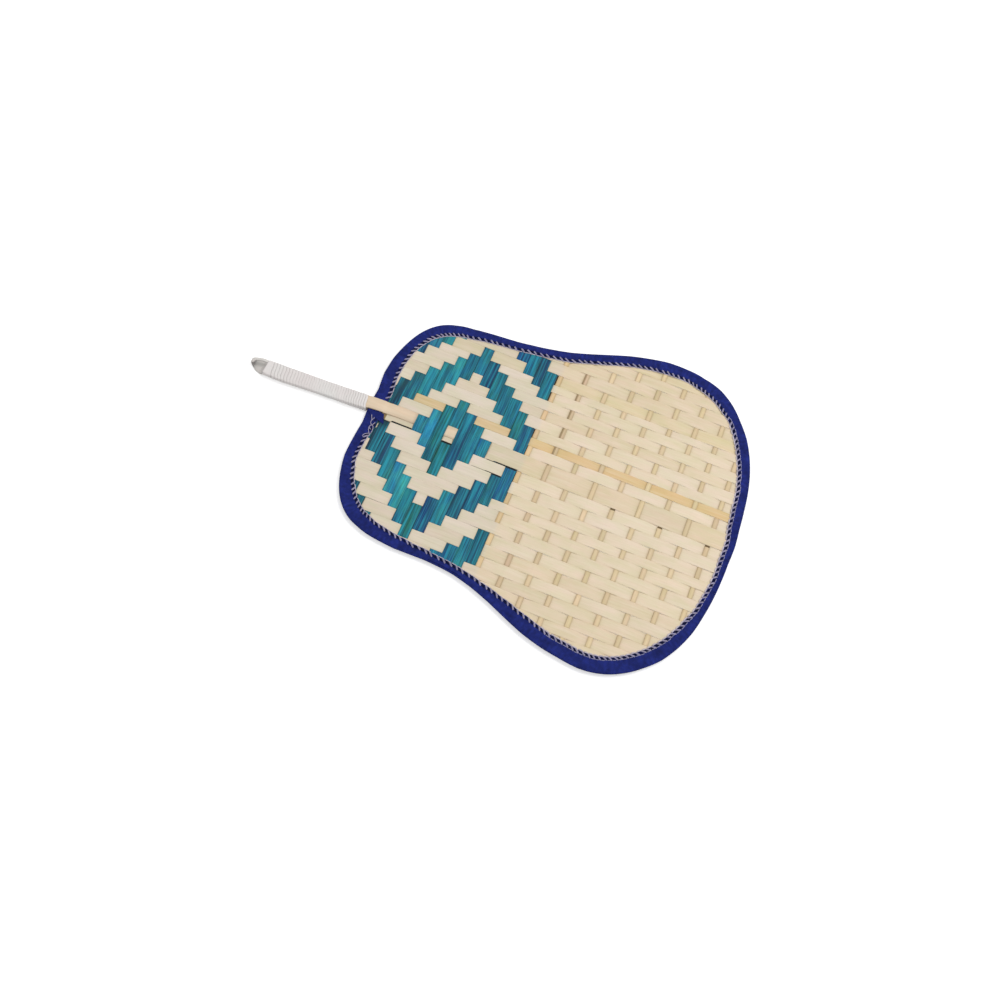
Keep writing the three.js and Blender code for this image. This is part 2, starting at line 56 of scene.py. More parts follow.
# Working places are in millimetres: X from the blade's root edge, Y from its middle line, and Z
# from the middle plane of the mat. The frame gives where that lies in the model.
MM = 0.001
BLADE_LENGTH = 302.0
MIDDLE_SPLINT_OFFSET = 0.5
BINDING_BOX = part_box("edge_binding")
MIDDLE_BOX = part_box("long_splint_middle")
ORIGIN = Vector((
    BINDING_BOX[1].x - BLADE_LENGTH * MM,
    (MIDDLE_BOX[0].y + MIDDLE_BOX[1].y) / 2 - MIDDLE_SPLINT_OFFSET * MM,
    (BINDING_BOX[0].z + BINDING_BOX[1].z) / 2,
))

# Blade outline: its even form first, then how far the real edge stands outside it and how wide the
# front fold is, at even steps round the edge from the root.
ROOT_WIDTH = 209.5
HEAD_WIDTH = 279.4
ROOT_ROUND = 60.0
ROOT_SQUARENESS = 3.0
FLARE_START = 80.0
WIDEST_PLACE = 222.0
HEAD_SQUARENESS = 2.15
ROOT_UNTIL, SIDE_UNTIL = 0.3, 0.6
OUTLINE_STEPS, EDGE_STEPS = 3000, 720
DIRECTION_REACH = 0.0015
EDGE_WANDER = [
    -0.9, -1.6, 0.6, 0.8, -0.3, -1.2, -2.5, -3.9, -3.8, -1.9, -0.5, 0.5, 0.2, -0.6, -0.6,
    -0.3, 0.1, -0.1, 0, -1.1, -1.6, 0, 0.6, 0.7, 1.8, 1.9, 1.6, 0.9, 0, -0.4,
    0.2, -0.4, 0, 0.6, 1.3, 2.4, 2.6, 2.4, 1, 0.4, 0.2, 0.3, -0.5, -0.3, -0.3,
    -1.1, -1.8, -1.9, -1.4, 0, 0.9, 1.1, -0.5, -1.7, -1, -0.2, 0.3, 0.7, -0.7, -2.1,
]
FRONT_FOLD_WIDTHS = [
    11.2, 11.3, 11.1, 10.6, 9.8, 10.3, 11.1, 10.8, 10.1, 9.2, 8.5, 8.3, 8.8, 9.5, 9.5,
    10, 10.3, 11, 11.9, 11.6, 12.2, 12.6, 11.7, 9.7, 10.3, 10.3, 9.8, 9.2, 9.2, 8.8,
    7.7, 7.2, 6.6, 7.3, 7.9, 10.1, 11.1, 12.1, 12.3, 12.4, 12.7, 12.8, 12.6, 12.2, 12.5,
    11, 9.3, 7.7, 7, 6.9, 8.3, 10.2, 11.3, 12.3, 12.7, 12, 10.4, 9.1, 9.2, 10.4,
]
BACK_FOLD_WIDTH = 9.5
MAT_INSET = 1.0

# Weave.
ROWS = 14
TWILL_REPEAT = 6
TWILL_FLOAT = 3
DYED_TO_ROOT = 7
DYED_COUNT = 14
PLAIN_COUNT = 9
DARKER_ROW = 2

# Handle, from the tip of its loop.
FREE_LENGTH = 98.0
LEAN = math.radians(1.6)
ROOT_OFFSET = 0.9


def srgb(colour):
    """Colour as it looks on screen, 0 to 1, turned into the shader's linear values."""
    return [c / 12.92 if c <= 0.04045 else ((c + 0.055) / 1.055) ** 2.4 for c in colour]


def screen(red, green, blue):
    return (red / 255, green / 255, blue / 255)


def times(colour, share):
    """A share of a colour as it looks on screen, in the shader's linear values."""
    return srgb([min(c * share, 1) for c in colour])


def ease(t):
    return (1 - math.cos(math.pi * min(max(t, 0.0), 1.0))) / 2


def lerp(a, b, t):
    return a + (b - a) * t


def beside(items, i):
    """The items before and after one, or the one itself at an end."""
    return items[max(i - 1, 0)], items[min(i + 1, len(items) - 1)]


def place(x, y, z):
    """A working place in millimetres as a place in the model, in metres."""
    return ORIGIN + Vector((x, y, z)) * MM


def wander(x, y, z, seed):
    """Smooth noise from -1 to 1, the same each run."""
    return noise.noise(Vector((x + 31.7 * seed, y - 17.3 * seed, z + 5.1 * seed)))


# ---------------------------------------------------------------- outline


def half_outline(way):
    """Point of the even outline on the left half, from the root at 0 to the head at 1."""
    if way < ROOT_UNTIL:
        turn, power = way / ROOT_UNTIL * math.pi / 2, 2 / ROOT_SQUARENESS
        return (
            ROOT_ROUND * (1 - max(math.cos(turn), 0) ** power),
            ROOT_WIDTH / 2 * math.sin(turn) ** power,
        )
    if way < SIDE_UNTIL:
        x = lerp(ROOT_ROUND, WIDEST_PLACE, (way - ROOT_UNTIL) / (SIDE_UNTIL - ROOT_UNTIL))
        flare = ease((x - FLARE_START) / (WIDEST_PLACE - FLARE_START))
        return x, lerp(ROOT_WIDTH, HEAD_WIDTH, flare) / 2
    turn, power = (way - SIDE_UNTIL) / (1 - SIDE_UNTIL) * math.pi / 2, 2 / HEAD_SQUARENESS
    return (
        WIDEST_PLACE + (BLADE_LENGTH - WIDEST_PLACE) * math.sin(turn) ** power,
        HEAD_WIDTH / 2 * max(math.cos(turn), 0) ** power,
    )


def between(values, share, smooth=False):
    """Value of a closed list at a share of the way round it."""
    spot = (share % 1.0) * len(values)
    last = int(spot)
    t = spot - last
    here, there = values[last % len(values)], values[(last + 1) % len(values)]
    return lerp(here, there, ease(t) if smooth else t)


class Edge:
    """The blade's edge, walked at even steps: left side, head, right side and back to the root."""

    def __init__(self, steps):
        left = [half_outline(i / OUTLINE_STEPS) for i in range(OUTLINE_STEPS + 1)]
        ring = left + [(x, -y) for x, y in reversed(left[:-1])]
        run = [0.0]
        for (ax, ay), (bx, by) in zip(ring, ring[1:]):
            run.append(run[-1] + math.hypot(bx - ax, by - ay))
        self.ring, self.run, self.length = ring, run, run[-1]
        self.points = [self.at(i / steps) for i in range(steps)]

    def even(self, share):
        want = (share % 1.0) * self.length
        low, high = 0, len(self.run) - 1
        while high - low > 1:
            mid = (low + high) // 2
            if self.run[mid] <= want:
                low = mid
            else:
                high = mid
        t = (want - self.run[low]) / max(self.run[high] - self.run[low], 1e-9)
        a, b = self.ring[low], self.ring[high]
        return lerp(a[0], b[0], t), lerp(a[1], b[1], t)

    def at(self, share):
        """Place on the real edge and the unit direction that points into the blade."""
        x, y = self.even(share)
        ax, ay = self.even(share - DIRECTION_REACH)
        bx, by = self.even(share + DIRECTION_REACH)
        run = math.hypot(bx - ax, by - ay)
        inward = ((by - ay) / run, -(bx - ax) / run)
        out = between(EDGE_WANDER, share)
        return x - inward[0] * out, y - inward[1] * out, inward[0], inward[1]

    def inside(self, share, inward):
        x, y, ix, iy = self.at(share)
        return x + ix * inward, y + iy * inward


EDGE = Edge(EDGE_STEPS)
MAT_RING = [(x + ix * MAT_INSET, y + iy * MAT_INSET) for x, y, ix, iy in EDGE.points]


def mat_span(across, lengthwise):
    """Where the mat starts and ends along a splint, at a place across it."""
    a, b = (1, 0) if lengthwise else (0, 1)
    middle = WIDEST_PLACE if lengthwise else 0.0
    low, high = -math.inf, math.inf
    for i, p in enumerate(MAT_RING):
        q = MAT_RING[(i + 1) % len(MAT_RING)]
        if (p[a] - across) * (q[a] - across) > 0 or p[a] == q[a]:
            continue
        hit = lerp(p[b], q[b], (across - p[a]) / (q[a] - p[a]))
        if hit < middle:
            low = max(low, hit)
        else:
            high = min(high, hit)
    return (low, high) if math.isfinite(high - low) else (middle, middle)


# ---------------------------------------------------------------- meshes


def add_piece(name, points, faces, material, shades, stains=None):
    """A new mesh piece from places in millimetres, riding on the fan."""
    mesh = bpy.data.meshes.new(name)
    mesh.from_pydata([place(*p) for p in points], [], faces)
    for layer_name, colours in (("shade", shades), ("stain", stains)):
        if colours:
            layer = mesh.color_attributes.new(layer_name, "FLOAT_COLOR", "POINT")
            for i, colour in enumerate(colours):
                layer.data[i].color = (*colour, 1.0)
    mesh.validate()
    for polygon in mesh.polygons:
        polygon.use_smooth = True
    piece = bpy.data.objects.new(name, mesh)
    bpy.context.scene.collection.objects.link(piece)
    mesh.materials.append(material)
    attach(piece, "root")
    return piece


def merge_close(piece, distance=1e-6):
    """Joins points that a trimmed end has brought together."""
    bm = bmesh.new()
    bm.from_mesh(piece.data)
    bmesh.ops.remove_doubles(bm, verts=bm.verts, dist=distance)
    bmesh.ops.dissolve_degenerate(bm, edges=bm.edges, dist=distance / 2)
    bmesh.ops.recalc_face_normals(bm, faces=bm.faces)
    bm.to_mesh(piece.data)
    bm.free()


def tube_faces(rings, size, start=0, closed=False):
    """Quads between rings of equal size, with caps unless the last ring meets the first."""
    faces = []
    for i in range(rings if closed else rings - 1):
        here, there = start + i * size, start + (i + 1) % rings * size
        for j in range(size):
            k = (j + 1) % size
            faces.append((here + j, there + j, there + k, here + k))
    if not closed:
        faces.append(tuple(start + j for j in range(size)))
        faces.append(tuple(start + (rings - 1) * size + j for j in reversed(range(size))))
    return faces


# ---------------------------------------------------------------- materials


class Nodes:
    """Short way to lay out the nodes of one material."""

    def __init__(self, name):
        self.material = bpy.data.materials.new(name)
        self.material.use_nodes = True
        self.tree = self.material.node_tree
        self.shader = self.tree.nodes["Principled BSDF"]

    def add(self, kind, **values):
        node = self.tree.nodes.new(kind)
        for key, value in values.items():
            setattr(node, key, value)
        return node

    def link(self, source, target):
        self.tree.links.new(source, target)

    def coordinates(self, scale, rotation=(0, 0, 0)):
        spot = self.add("ShaderNodeTexCoord")
        mapping = self.add("ShaderNodeMapping")
        mapping.inputs["Scale"].default_value = scale
        mapping.inputs["Rotation"].default_value = rotation
        self.link(spot.outputs["Object"], mapping.inputs["Vector"])
        return mapping.outputs["Vector"]

    def noise(self, scale, detail=4.0, rough=0.6):
        """Noise with its own size, in features per metre, along X, Y and Z."""
        node = self.add("ShaderNodeTexNoise")
        node.inputs["Scale"].default_value = 1.0
        node.inputs["Detail"].default_value = detail
        node.inputs["Roughness"].default_value = rough
        self.link(self.coordinates(scale), node.inputs["Vector"])
        return node.outputs["Fac"]

    def spread(self, value, low, high, from_low=0.25, from_high=0.75):
        node = self.add("ShaderNodeMapRange")
        node.inputs["From Min"].default_value = from_low
        node.inputs["From Max"].default_value = from_high
        node.inputs["To Min"].default_value = low
        node.inputs["To Max"].default_value = high
        self.link(value, node.inputs["Value"])
        return node.outputs["Result"]

    def mix(self, factor, first, second, blend="MIX"):
        node = self.add("ShaderNodeMix", data_type="RGBA", blend_type=blend)
        for number, value in ((0, factor), (6, first), (7, second)):
            socket = node.inputs[number]
            if hasattr(value, "links"):
                self.link(value, socket)
            elif isinstance(value, (int, float)):
                socket.default_value = value
            else:
                socket.default_value = (*value, 1.0)
        return node.outputs[2]

    def shaded(self, colour):
        """The colour times the shade kept with the mesh: painted shade, and on some pieces their
        own uneven tone.
        """
        shade = self.add("ShaderNodeVertexColor", layer_name="shade").outputs["Color"]
        return self.mix(1.0, colour, shade, "MULTIPLY")

    def finish(self, colour, rough, height, gloss, strength, distance=0.0001):
        """Sets the shader's colour, roughness, gloss and relief, and gives the material."""
        self.link(self.shaded(colour), self.shader.inputs["Base Color"])
        self.link(rough, self.shader.inputs["Roughness"])
        self.shader.inputs["Specular IOR Level"].default_value = gloss
        node = self.add("ShaderNodeBump")
        node.inputs["Strength"].default_value = strength
        node.inputs["Distance"].default_value = distance
        self.link(height, node.inputs["Height"])
        self.link(node.outputs["Normal"], self.shader.inputs["Normal"])
        return self.material


# Pairs of tints that the clouds of a splint run between, as shares of its stain.
NATURAL_TINTS = (
    ((1.03, 1.0, 1.03), (0.965, 0.992, 0.94)), ((1.035, 1.02, 1.045), (0.978, 0.98, 0.95)),
)
HANDLE_TINTS = (((1.03, 1.0, 0.99), (0.98, 1.0, 1.0)), ((1.04, 1.03, 1.03), (0.96, 0.97, 0.96)))
DYED_TINTS = (((1.2, 1.1, 0.86), (0.62, 0.86, 1.16)), ((1.2, 1.22, 1.16), (0.6, 0.68, 0.78)))

# Features per metre of bamboo: along its fibres, across the broad streaks, and across the fibres.
NATURAL_SIZES = (26.0, 640.0, 2400.0)
DYED_SIZES = (14.0, 560.0, 1450.0)

# Clouds of tint on bamboo, along it and across it, in features per metre.
CLOUD_SIZES = ((70.0, 190.0), (38.0, 110.0))


def bamboo(
    name, lengthwise, contrast, light, dark, roughness=0.5, sizes=NATURAL_SIZES, tints=NATURAL_TINTS
):
    """Split bamboo: the stain of each splint, clouded, with fibres along it."""
    nodes = Nodes(name)
    along, broad, fine = sizes
    turn = (lambda a, b: (a, b, a)) if lengthwise else (lambda a, b: (b, a, a))
    stain = nodes.add("ShaderNodeVertexColor", layer_name="stain").outputs["Color"]
    for scale, (first, second) in zip(CLOUD_SIZES, tints):
        cloud = nodes.spread(nodes.noise(turn(*scale), 2.0, 0.5), 0.0, 1.0, 0.36, 0.64)
        stain = nodes.mix(1.0, stain, nodes.mix(cloud, first, second), "MULTIPLY")
    streaks = nodes.noise(turn(along, broad), 3.0, 0.55)
    fibres = nodes.noise(turn(along * 2, fine), 5.0, 0.7)
    toned = nodes.mix(nodes.spread(streaks, 0.0, contrast, 0.42, 0.7), stain, srgb(light))
    toned = nodes.mix(nodes.spread(fibres, contrast, 0.0, 0.3, 0.56), toned, srgb(dark))
    rough = nodes.spread(fibres, roughness - 0.1, roughness + 0.1)
    return nodes.finish(toned, rough, fibres, gloss=0.22, strength=0.35, distance=0.00012)


def cloth(name, colour):
    """Plain woven cotton tape, darker where its shade says so."""
    nodes = Nodes(name)
    height = None
    for turn in (0.0, math.pi / 2):
        wave = nodes.add("ShaderNodeTexWave", wave_type="BANDS", bands_direction="X")
        wave.inputs["Scale"].default_value = 1.0
        wave.inputs["Distortion"].default_value = 0.6
        wave.inputs["Detail"].default_value = 1.0
        nodes.link(nodes.coordinates((330, 330, 330), (0, 0, turn + 0.6)), wave.inputs["Vector"])
        if height is None:
            height = wave.outputs["Fac"]
        else:
            both = nodes.add("ShaderNodeMath", operation="ADD")
            nodes.link(height, both.inputs[0])
            nodes.link(wave.outputs["Fac"], both.inputs[1])
            height = both.outputs[0]
    mottle = nodes.noise((260, 260, 260), 5.0, 0.75)
    base = nodes.mix(nodes.spread(mottle, 0.0, 1.0), times(colour, 0.76), times(colour, 1.24))
    base = nodes.mix(nodes.spread(height, 0.25, 0.0, 0.2, 1.2), base, times(colour, 0.65))
    return nodes.finish(base, nodes.spread(mottle, 0.8, 0.95), height, gloss=0.12, strength=0.5)


def thread(name, colour):
    """Twisted cotton thread."""
    nodes = Nodes(name)
    twist = nodes.noise((2600, 2600, 900), 3.0, 0.6)
    base = nodes.mix(nodes.spread(twist, 0.0, 1.0), times(colour, 0.82), srgb(colour))
    return nodes.finish(base, nodes.spread(twist, 0.6, 0.8), twist, gloss=0.25, strength=0.5)


def plastic_tape(name, colour):
    """Thin pale tape with a satin face and fine lines along it, with painted shade between its
    turns.
    """
    nodes = Nodes(name)
    lines = nodes.noise((1500, 180, 180), 4.0, 0.65)
    cloud = nodes.noise((60, 60, 60), 3.0, 0.5)
    warm = srgb((colour[0], colour[1] * 0.97, colour[2] * 0.975))
    base = nodes.mix(nodes.spread(cloud, 0.0, 1.0), srgb(colour), warm)
    base = nodes.mix(nodes.spread(lines, 0.35, 0.0, 0.3, 0.6), base, times(colour, 0.92))
    return nodes.finish(base, nodes.spread(lines, 0.34, 0.52), lines, gloss=0.4, strength=0.25)


# ---------------------------------------------------------------- weave


def dyed_on_top(column, row):
    return 1 <= (abs(column) + abs(row)) % TWILL_REPEAT <= TWILL_FLOAT


def plain_on_top(column, row):
    return (abs(row) + column) % 2 == 1


def node_span(node, axis):
    """A node's lowest and highest place on one axis, in working millimetres."""
    low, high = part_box(node)
    return (low[axis] - ORIGIN[axis]) / MM, (high[axis] - ORIGIN[axis]) / MM


def rows():
    """Lengthwise splints from right to left: row number, node name and edges in Y."""
    found = []
    for row in range(-ROWS, ROWS + 1):
        side = "left" if row > 0 else "right"
        node = f"long_splint_{side}_{abs(row):02d}" if row else "long_splint_middle"
        found.append((row, node, *node_span(node, 1)))
    return found


def columns():
    """Cross splints from the root to the head: number, whether dyed, node name and edges in X."""
    found = []
    for i in range(DYED_COUNT):
        node = f"dyed_cross_splint_{i + 1:02d}"
        found.append((i - DYED_TO_ROOT, True, node, *node_span(node, 0)))
    for i in range(PLAIN_COUNT):
        node = f"plain_cross_splint_{i + 1:02d}"
        found.append((i, False, node, *node_span(node, 0)))
    return found


def column_on_top(column, dyed, row):
    return dyed_on_top(column, row) if dyed else plain_on_top(column, row)


class Run:
    """Path of one splint through the weave, from its crossings as (low, high, height) in order."""

    def __init__(self, crossings, belly, reach=0.35, dark_until=-math.inf):
        self.belly, self.dark_until = belly, dark_until
        self.turns = []
        for last, here in zip(crossings, crossings[1:]):
            if last[2] != here[2]:
                self.turns.append((last[1] - reach, here[0] + reach, last[2], here[2]))
        self.first = crossings[0][2]
        self.under = [(a, b) for a, b, z in crossings if z < 0]
        self.over = [(a, b) for a, b, z in crossings if z > 0]

    def height(self, s):
        z, start = self.first, None
        for a, b, _, after in self.turns:
            if s <= a:
                return z + self.swell(start, a, s, z)
            if s < b:
                return lerp(z, after, ease((s - a) / (b - a)))
            z, start = after, b
        return z

    def swell(self, low, high, s, z):
        """A float bows away from the weave a little between its two ends."""
        if low is None or high <= low:
            return 0.0
        t = (s - low) / (high - low)
        return math.copysign(self.belly * 4 * t * (1 - t), z)

    def shade(self, s, covers, fall):
        """Number of the float at s, and the painted shade of its face near the splints that cover
        it.
        """
        count, before, after = 0, None, None
        for a, b in covers:
            if a > s:
                after = a - s
                break
            count, before = count + 1, s - b
        if before is not None and before < 0:
            return count, HIDDEN_SHADE
        if before is not None and after is not None and before + after < SLIT_REACH:
            # Among the dyed splints even a narrow gap gets the open slit's painted shade.
            open_slit = before + after > NARROW_GAP or s < self.dark_until
            return count, SLIT_SHADE if open_slit else NARROW_SHADE
        dark = 1.0
        if before is not None:
            dark *= 1 - fall[1] * math.exp(-before / FALL_REACH)
        if after is not None:
            dark *= 1 - fall[0] * math.exp(-after / FALL_REACH)
        return count, dark


# Painted shade: how wide a gap between two covers may be to count as a slit, the shade in an open
# slit and in a narrow gap, on a face hidden under a cover, and how far it fades beside a cover.
SLIT_REACH = 2.4
SLIT_SHADE = 0.04
NARROW_GAP = 0.75
NARROW_SHADE = 0.8
HIDDEN_SHADE = 0.45
FALL_REACH = 0.8
ACROSS = [0.0, 0.03, 0.12, 0.32, 0.5, 0.68, 0.88, 0.97, 1.0]
THICKNESS_SHARE = [0.5, 0.85, 1.0, 1.0, 1.0, 1.0, 1.0, 0.85, 0.5]
PLACES_BY_A_CROSSING = (-1.7, -1.0, -0.55, -0.12, 0.35, 0.9)
SHORTEST_STEP, LONGEST_STEP = 0.09, 4.0
NOTCH_FADE = 1.5
NOTCH_PLACES = (0, 0.4, 0.8, NOTCH_FADE)
FADE_SHARES = (0, 0.33, 0.67, 1)

# Slow unevenness of a splint: how far it drifts and rolls, and over what lengths.
DRIFT, DRIFT_LENGTH = 0.16, 24
ROLL, ROLL_LENGTH = 0.07, 19
PINCH_LENGTH = 17

# Tints of one splint's floats, half of them for its front and half for its back.
TINT_COUNT = 80


class Splint:
    """One splint: where its edges run, how it bends, and its stain."""

    def __init__(self, node, low, high, lengthwise, run, stain, seed):
        self.node, self.low, self.high = node, low, high
        self.lengthwise, self.run, self.stain, self.seed = lengthwise, run, stain, seed
        self.spread, self.pinch = 0.0, 0.1
        self.dome = 0.04
        self.lean = 0.0
        # Painted shade on a face just before and just after a splint that covers it.
        self.fall = (0.24, 0.12)
        # Painted shade that darkens a face towards the splint's edges, and how far in it reaches.
        self.edge_dark, self.edge_reach = 0.0, 0.5
        self.notches = ()
        self.places = ()
        # Painted shadow on one side of part of a splint: the share across, the place along where it
        # starts, and its shade.
        self.dark_half = None
        # Powers on each channel that tint the painted shade.
        self.shade_hue = (1.0, 1.0, 1.0)
        self.rub = (1.0, 1.0, 1.0)
        self.hue = (0.5, 0.0, -1.0)
        self.tone, self.hue_spread = 0.012, 0.008

    def notch(self, s, side):
        """How far an edge is drawn in at s."""
        deep = 0.0
        for where, start, stop, depth in self.notches:
            if where == side and start < s < stop:
                deep = max(deep, depth * ease(min(s - start, stop - s) / NOTCH_FADE))
        return deep

    def across(self, s, v):
        drift = DRIFT * wander(s / DRIFT_LENGTH, 0, 0, self.seed) + self.lean * s
        pinch = self.pinch * wander(s / PINCH_LENGTH, 3, 0, self.seed)
        low = self.low - self.spread - pinch + self.notch(s, -1)
        high = self.high + self.spread + pinch - self.notch(s, 1)
        return lerp(low, high, v) + drift

    def shade_at(self, s, v, dark):
        """The shade of the upper face at s, with the places that lie deeper or more open."""
        for low, high, soft, shade in self.places:
            if low - soft < s < high + soft:
                inside = min((s - low + soft) / soft, (high + soft - s) / soft, 1.0)
                dark = lerp(dark, shade, ease(inside))
        if self.dark_half and v < self.dark_half[0] and s > self.dark_half[1]:
            dark *= self.dark_half[2]
        return dark

    def stations(self, begin, end, ends):
        found = set(round(s, 2) for s in ends)
        for a, b in self.run.under + self.run.over:
            for off in PLACES_BY_A_CROSSING:
                found.update((round(a + off, 2), round(b - off, 2)))
            found.add(round((a + b) / 2, 2))
        for _, start, stop, _ in self.notches:
            for off in NOTCH_PLACES:
                found.update((round(start + off, 2), round(stop - off, 2)))
        for low, high, soft, _ in self.places:
            for share in FADE_SHARES:
                found.update((round(low - soft * share, 2), round(high + soft * share, 2)))
        steps = int((end - begin) / LONGEST_STEP)
        found.update(round(begin + LONGEST_STEP * i, 2) for i in range(steps))
        found = sorted(s for s in found if begin <= s <= end)
        kept = [found[0]]
        for s in found[1:]:
            if s - kept[-1] > SHORTEST_STEP:
                kept.append(s)
        return kept

    def build(self, material, settings):
        rng = random.Random(self.seed)
        tints = [
            (rng.gauss(0, self.tone), rng.gauss(0, self.hue_spread)) for _ in range(TINT_COUNT)
        ]
        spans = [mat_span(lerp(self.low, self.high, v), self.lengthwise) for v in ACROSS]
        ends = [s for pair in spans for s in pair]
        begin, end = min(s[0] for s in spans), max(s[1] for s in spans)
        half = settings.splint_thickness / MM / 2
        points, stains, shades = [], [], []
        stations = self.stations(begin, end, ends)
        for s in stations:
            roll = ROLL * wander(s / ROLL_LENGTH, 7, 0, self.seed)
            rings = {1: [], -1: []}
            for v, share, (start, stop) in zip(ACROSS, THICKNESS_SHARE, spans):
                at = min(max(s, start), stop)
                lift = self.run.height(at)
                side = 1 if lift > 0 else -1
                lift += roll * (2 * v - 1) + self.dome * (1 - (2 * v - 1) ** 2) * side
                across = self.across(at, v)
                # Painted shade towards the edges, standing in for the shadow in the gaps beside the
                # splint.
                edge = min(v, 1 - v) * (self.high - self.low)
                rim = 1 - self.edge_dark * math.exp(-edge / self.edge_reach)
                for face, covers in ((1, self.run.under), (-1, self.run.over)):
                    z = lift + face * half * share
                    spot = (at, across, z) if self.lengthwise else (across, at, z)
                    count, dark = self.run.shade(at, covers, self.fall)
                    if face > 0:
                        dark = self.shade_at(at, v, dark)
                    tone, hue = tints[(count + TINT_COUNT // 2 * (face < 0)) % TINT_COUNT]
                    plain = ease((at - DYED_END) / DYE_FADE)
                    stain = [
                        max(c * (1 + tone + hue * h) * lerp(r, 1, plain), 0.0)
                        for c, h, r in zip(self.stain, self.hue, self.rub)
                    ]
                    shade = [(dark * rim) ** power for power in self.shade_hue]
                    rings[face].append((spot, stain, shade))
            for point, stain, shade in rings[1] + rings[-1][::-1]:
                points.append(point)
                stains.append(stain)
                shades.append(shade)
        faces = tube_faces(len(stations), 2 * len(ACROSS))
        piece = add_piece(f"{self.node}_woven", points, faces, material, shades, stains)
        merge_close(piece)
        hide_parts(self.node)
        return piece


# Stains, as they look on screen.
PALE = screen(233, 217, 191)
CREAM = screen(230, 214, 186)
STRAW = screen(227, 209, 179)
DRY = screen(225, 207, 176)
YELLOW = screen(224, 207, 169)
TAN = screen(223, 194, 143)
ROW_STAINS = {
    -14: STRAW, -13: STRAW, -12: STRAW, -11: STRAW, -10: STRAW, -9: CREAM, -8: STRAW, -7: CREAM,
    -6: CREAM, -5: CREAM, -4: CREAM, -3: CREAM, -2: PALE, -1: PALE, 0: DRY, 1: PALE, 2: TAN,
    3: CREAM, 4: PALE, 5: STRAW, 6: CREAM, 7: CREAM, 8: CREAM, 9: YELLOW, 10: STRAW, 11: DRY,
    12: STRAW, 13: YELLOW, 14: STRAW,
}
PLAIN_STAIN = screen(231, 210, 172)
ORANGE_STAIN = screen(232, 203, 158)
DUSKY_STAIN = screen(219, 195, 163)
LAST_STAIN = screen(222, 201, 163)
DYED_STAINS = [
    screen(*colour) for colour in (
        (25, 70, 95), (25, 70, 95), (44, 106, 124), (43, 124, 125), (48, 132, 161), (51, 144, 167),
        (31, 116, 137), (36, 121, 136), (18, 75, 120), (36, 120, 134), (30, 106, 146),
        (26, 113, 137), (32, 109, 120), (27, 101, 128),
    )
]


def weave_rise(settings):
    return (settings.splint_thickness / MM + settings.weave_gap / MM) / 2


def leg_edges(x):
    """Edges in Y of a leg in the blade, at a distance from the root edge."""
    t = min(max(x / LEG_SETTLED_AT, 0), 1)
    low, high = (lerp(a, b, t) for a, b in zip(LEG_AT_ROOT, LEG_SETTLED))
    return low, high if x < FRONT_SHOULDER_IN_BLADE else TIP_HIGH


# Edges in Y of a leg at the root edge and where it has settled beside the middle line, and the high
# edge of its tip. A splint clears a leg by the margin.
LEG_AT_ROOT = (-3.7, 6.9)
LEG_SETTLED = (-1.9, 8.1)
LEG_SETTLED_AT = 25
TIP_HIGH = 7.2
LEG_MARGIN = 0.2

FRONT_SHOULDER_IN_BLADE = 39.0
FRONT_LEG_IN_BLADE = 93.5
BACK_STEP_IN_BLADE = 12.4
BACK_LEG_IN_BLADE = 113.5
PLAIN_LEAN = 0.008
# Powers on each channel that warm the painted shade of the natural and the plain splints.
NATURAL_SHADE = (0.85, 1.05, 1.45)
PLAIN_SHADE = (0.92, 1.02, 1.25)

# Share of the natural stain that stays among the dyed splints, which have rubbed off on it.
DYE_RUB = (0.92, 0.968, 1.05)
DYED_END = 127.0
DYE_FADE = 4.0
PLAIN_INSET = 0.15

# Where a splint's edge is drawn in: side, start, stop and depth.
ROW_NOTCHES = {
    0: ((-1, 21.5, 76, 1.45), (-1, 100.5, 131, 0.5), (-1, 106, 128, 1.15)),
    -1: ((-1, 92, 118, 0.3), (-1, 103, 118, 0.65)),
}
COLUMN_NOTCHES = {-6: ((-1, -17.4, -11.4, 0.9),)}

# Where a splint lies deeper in shadow, or more open, than its crossings say: start, stop, how
# softly it fades, and the shade.
ROW_PLACES = {0: ((14.2, 16.6, 0.6, 0.3),), -1: ((13.0, 14.2, 0.2, 0.9),)}
DYED_PLACES = {
    -7: ((-9.0, -5.0, 6.0, 0.5),), -6: ((-9.4, -5.0, 7.0, 0.4), (-8.4, -5.6, 0.6, 0.12)),
    0: ((-7.5, -5.4, 0.25, 0.05),), 5: ((-18.1, -16.2, 0.3, 0.07),), 6: ((-7.9, -5.6, 0.25, 0.05),),
}
# Painted shadow as a dark dash on some plain splints, where they dive under the middle row.
SHADOW_DASH_PLACES = ((-8.9, -6.4, 0.35, 0.17),)
SHADOW_DASH_COLUMNS = (4, 6, 8)
# The plain column whose side towards the root is painted in deep shadow, beyond a place along it.
HALF_SHADED_COLUMN = 1


class FanWeaveSettings(bpy.types.PropertyGroup):
    splint_thickness: FloatProperty(
        name="Splint thickness", description="Thickness of every splint", default=0.00036,
        min=0.0001, unit="LENGTH", precision=5,
    )
    weave_gap: FloatProperty(
        name="Weave gap", description="Air between two splints where they cross", default=0.00006,
        min=0.0, unit="LENGTH", precision=5,
    )
    leg_rise: FloatProperty(
        name="Rise over a leg", description="Height of a cross splint where it passes a handle leg",
        default=0.00114, unit="LENGTH", precision=5,
    )
    dye_variation: FloatProperty(
        name="Dye variation", description="Spread of the dye's tone from one float to the next",
        default=0.26, min=0.0, subtype="FACTOR",
    )


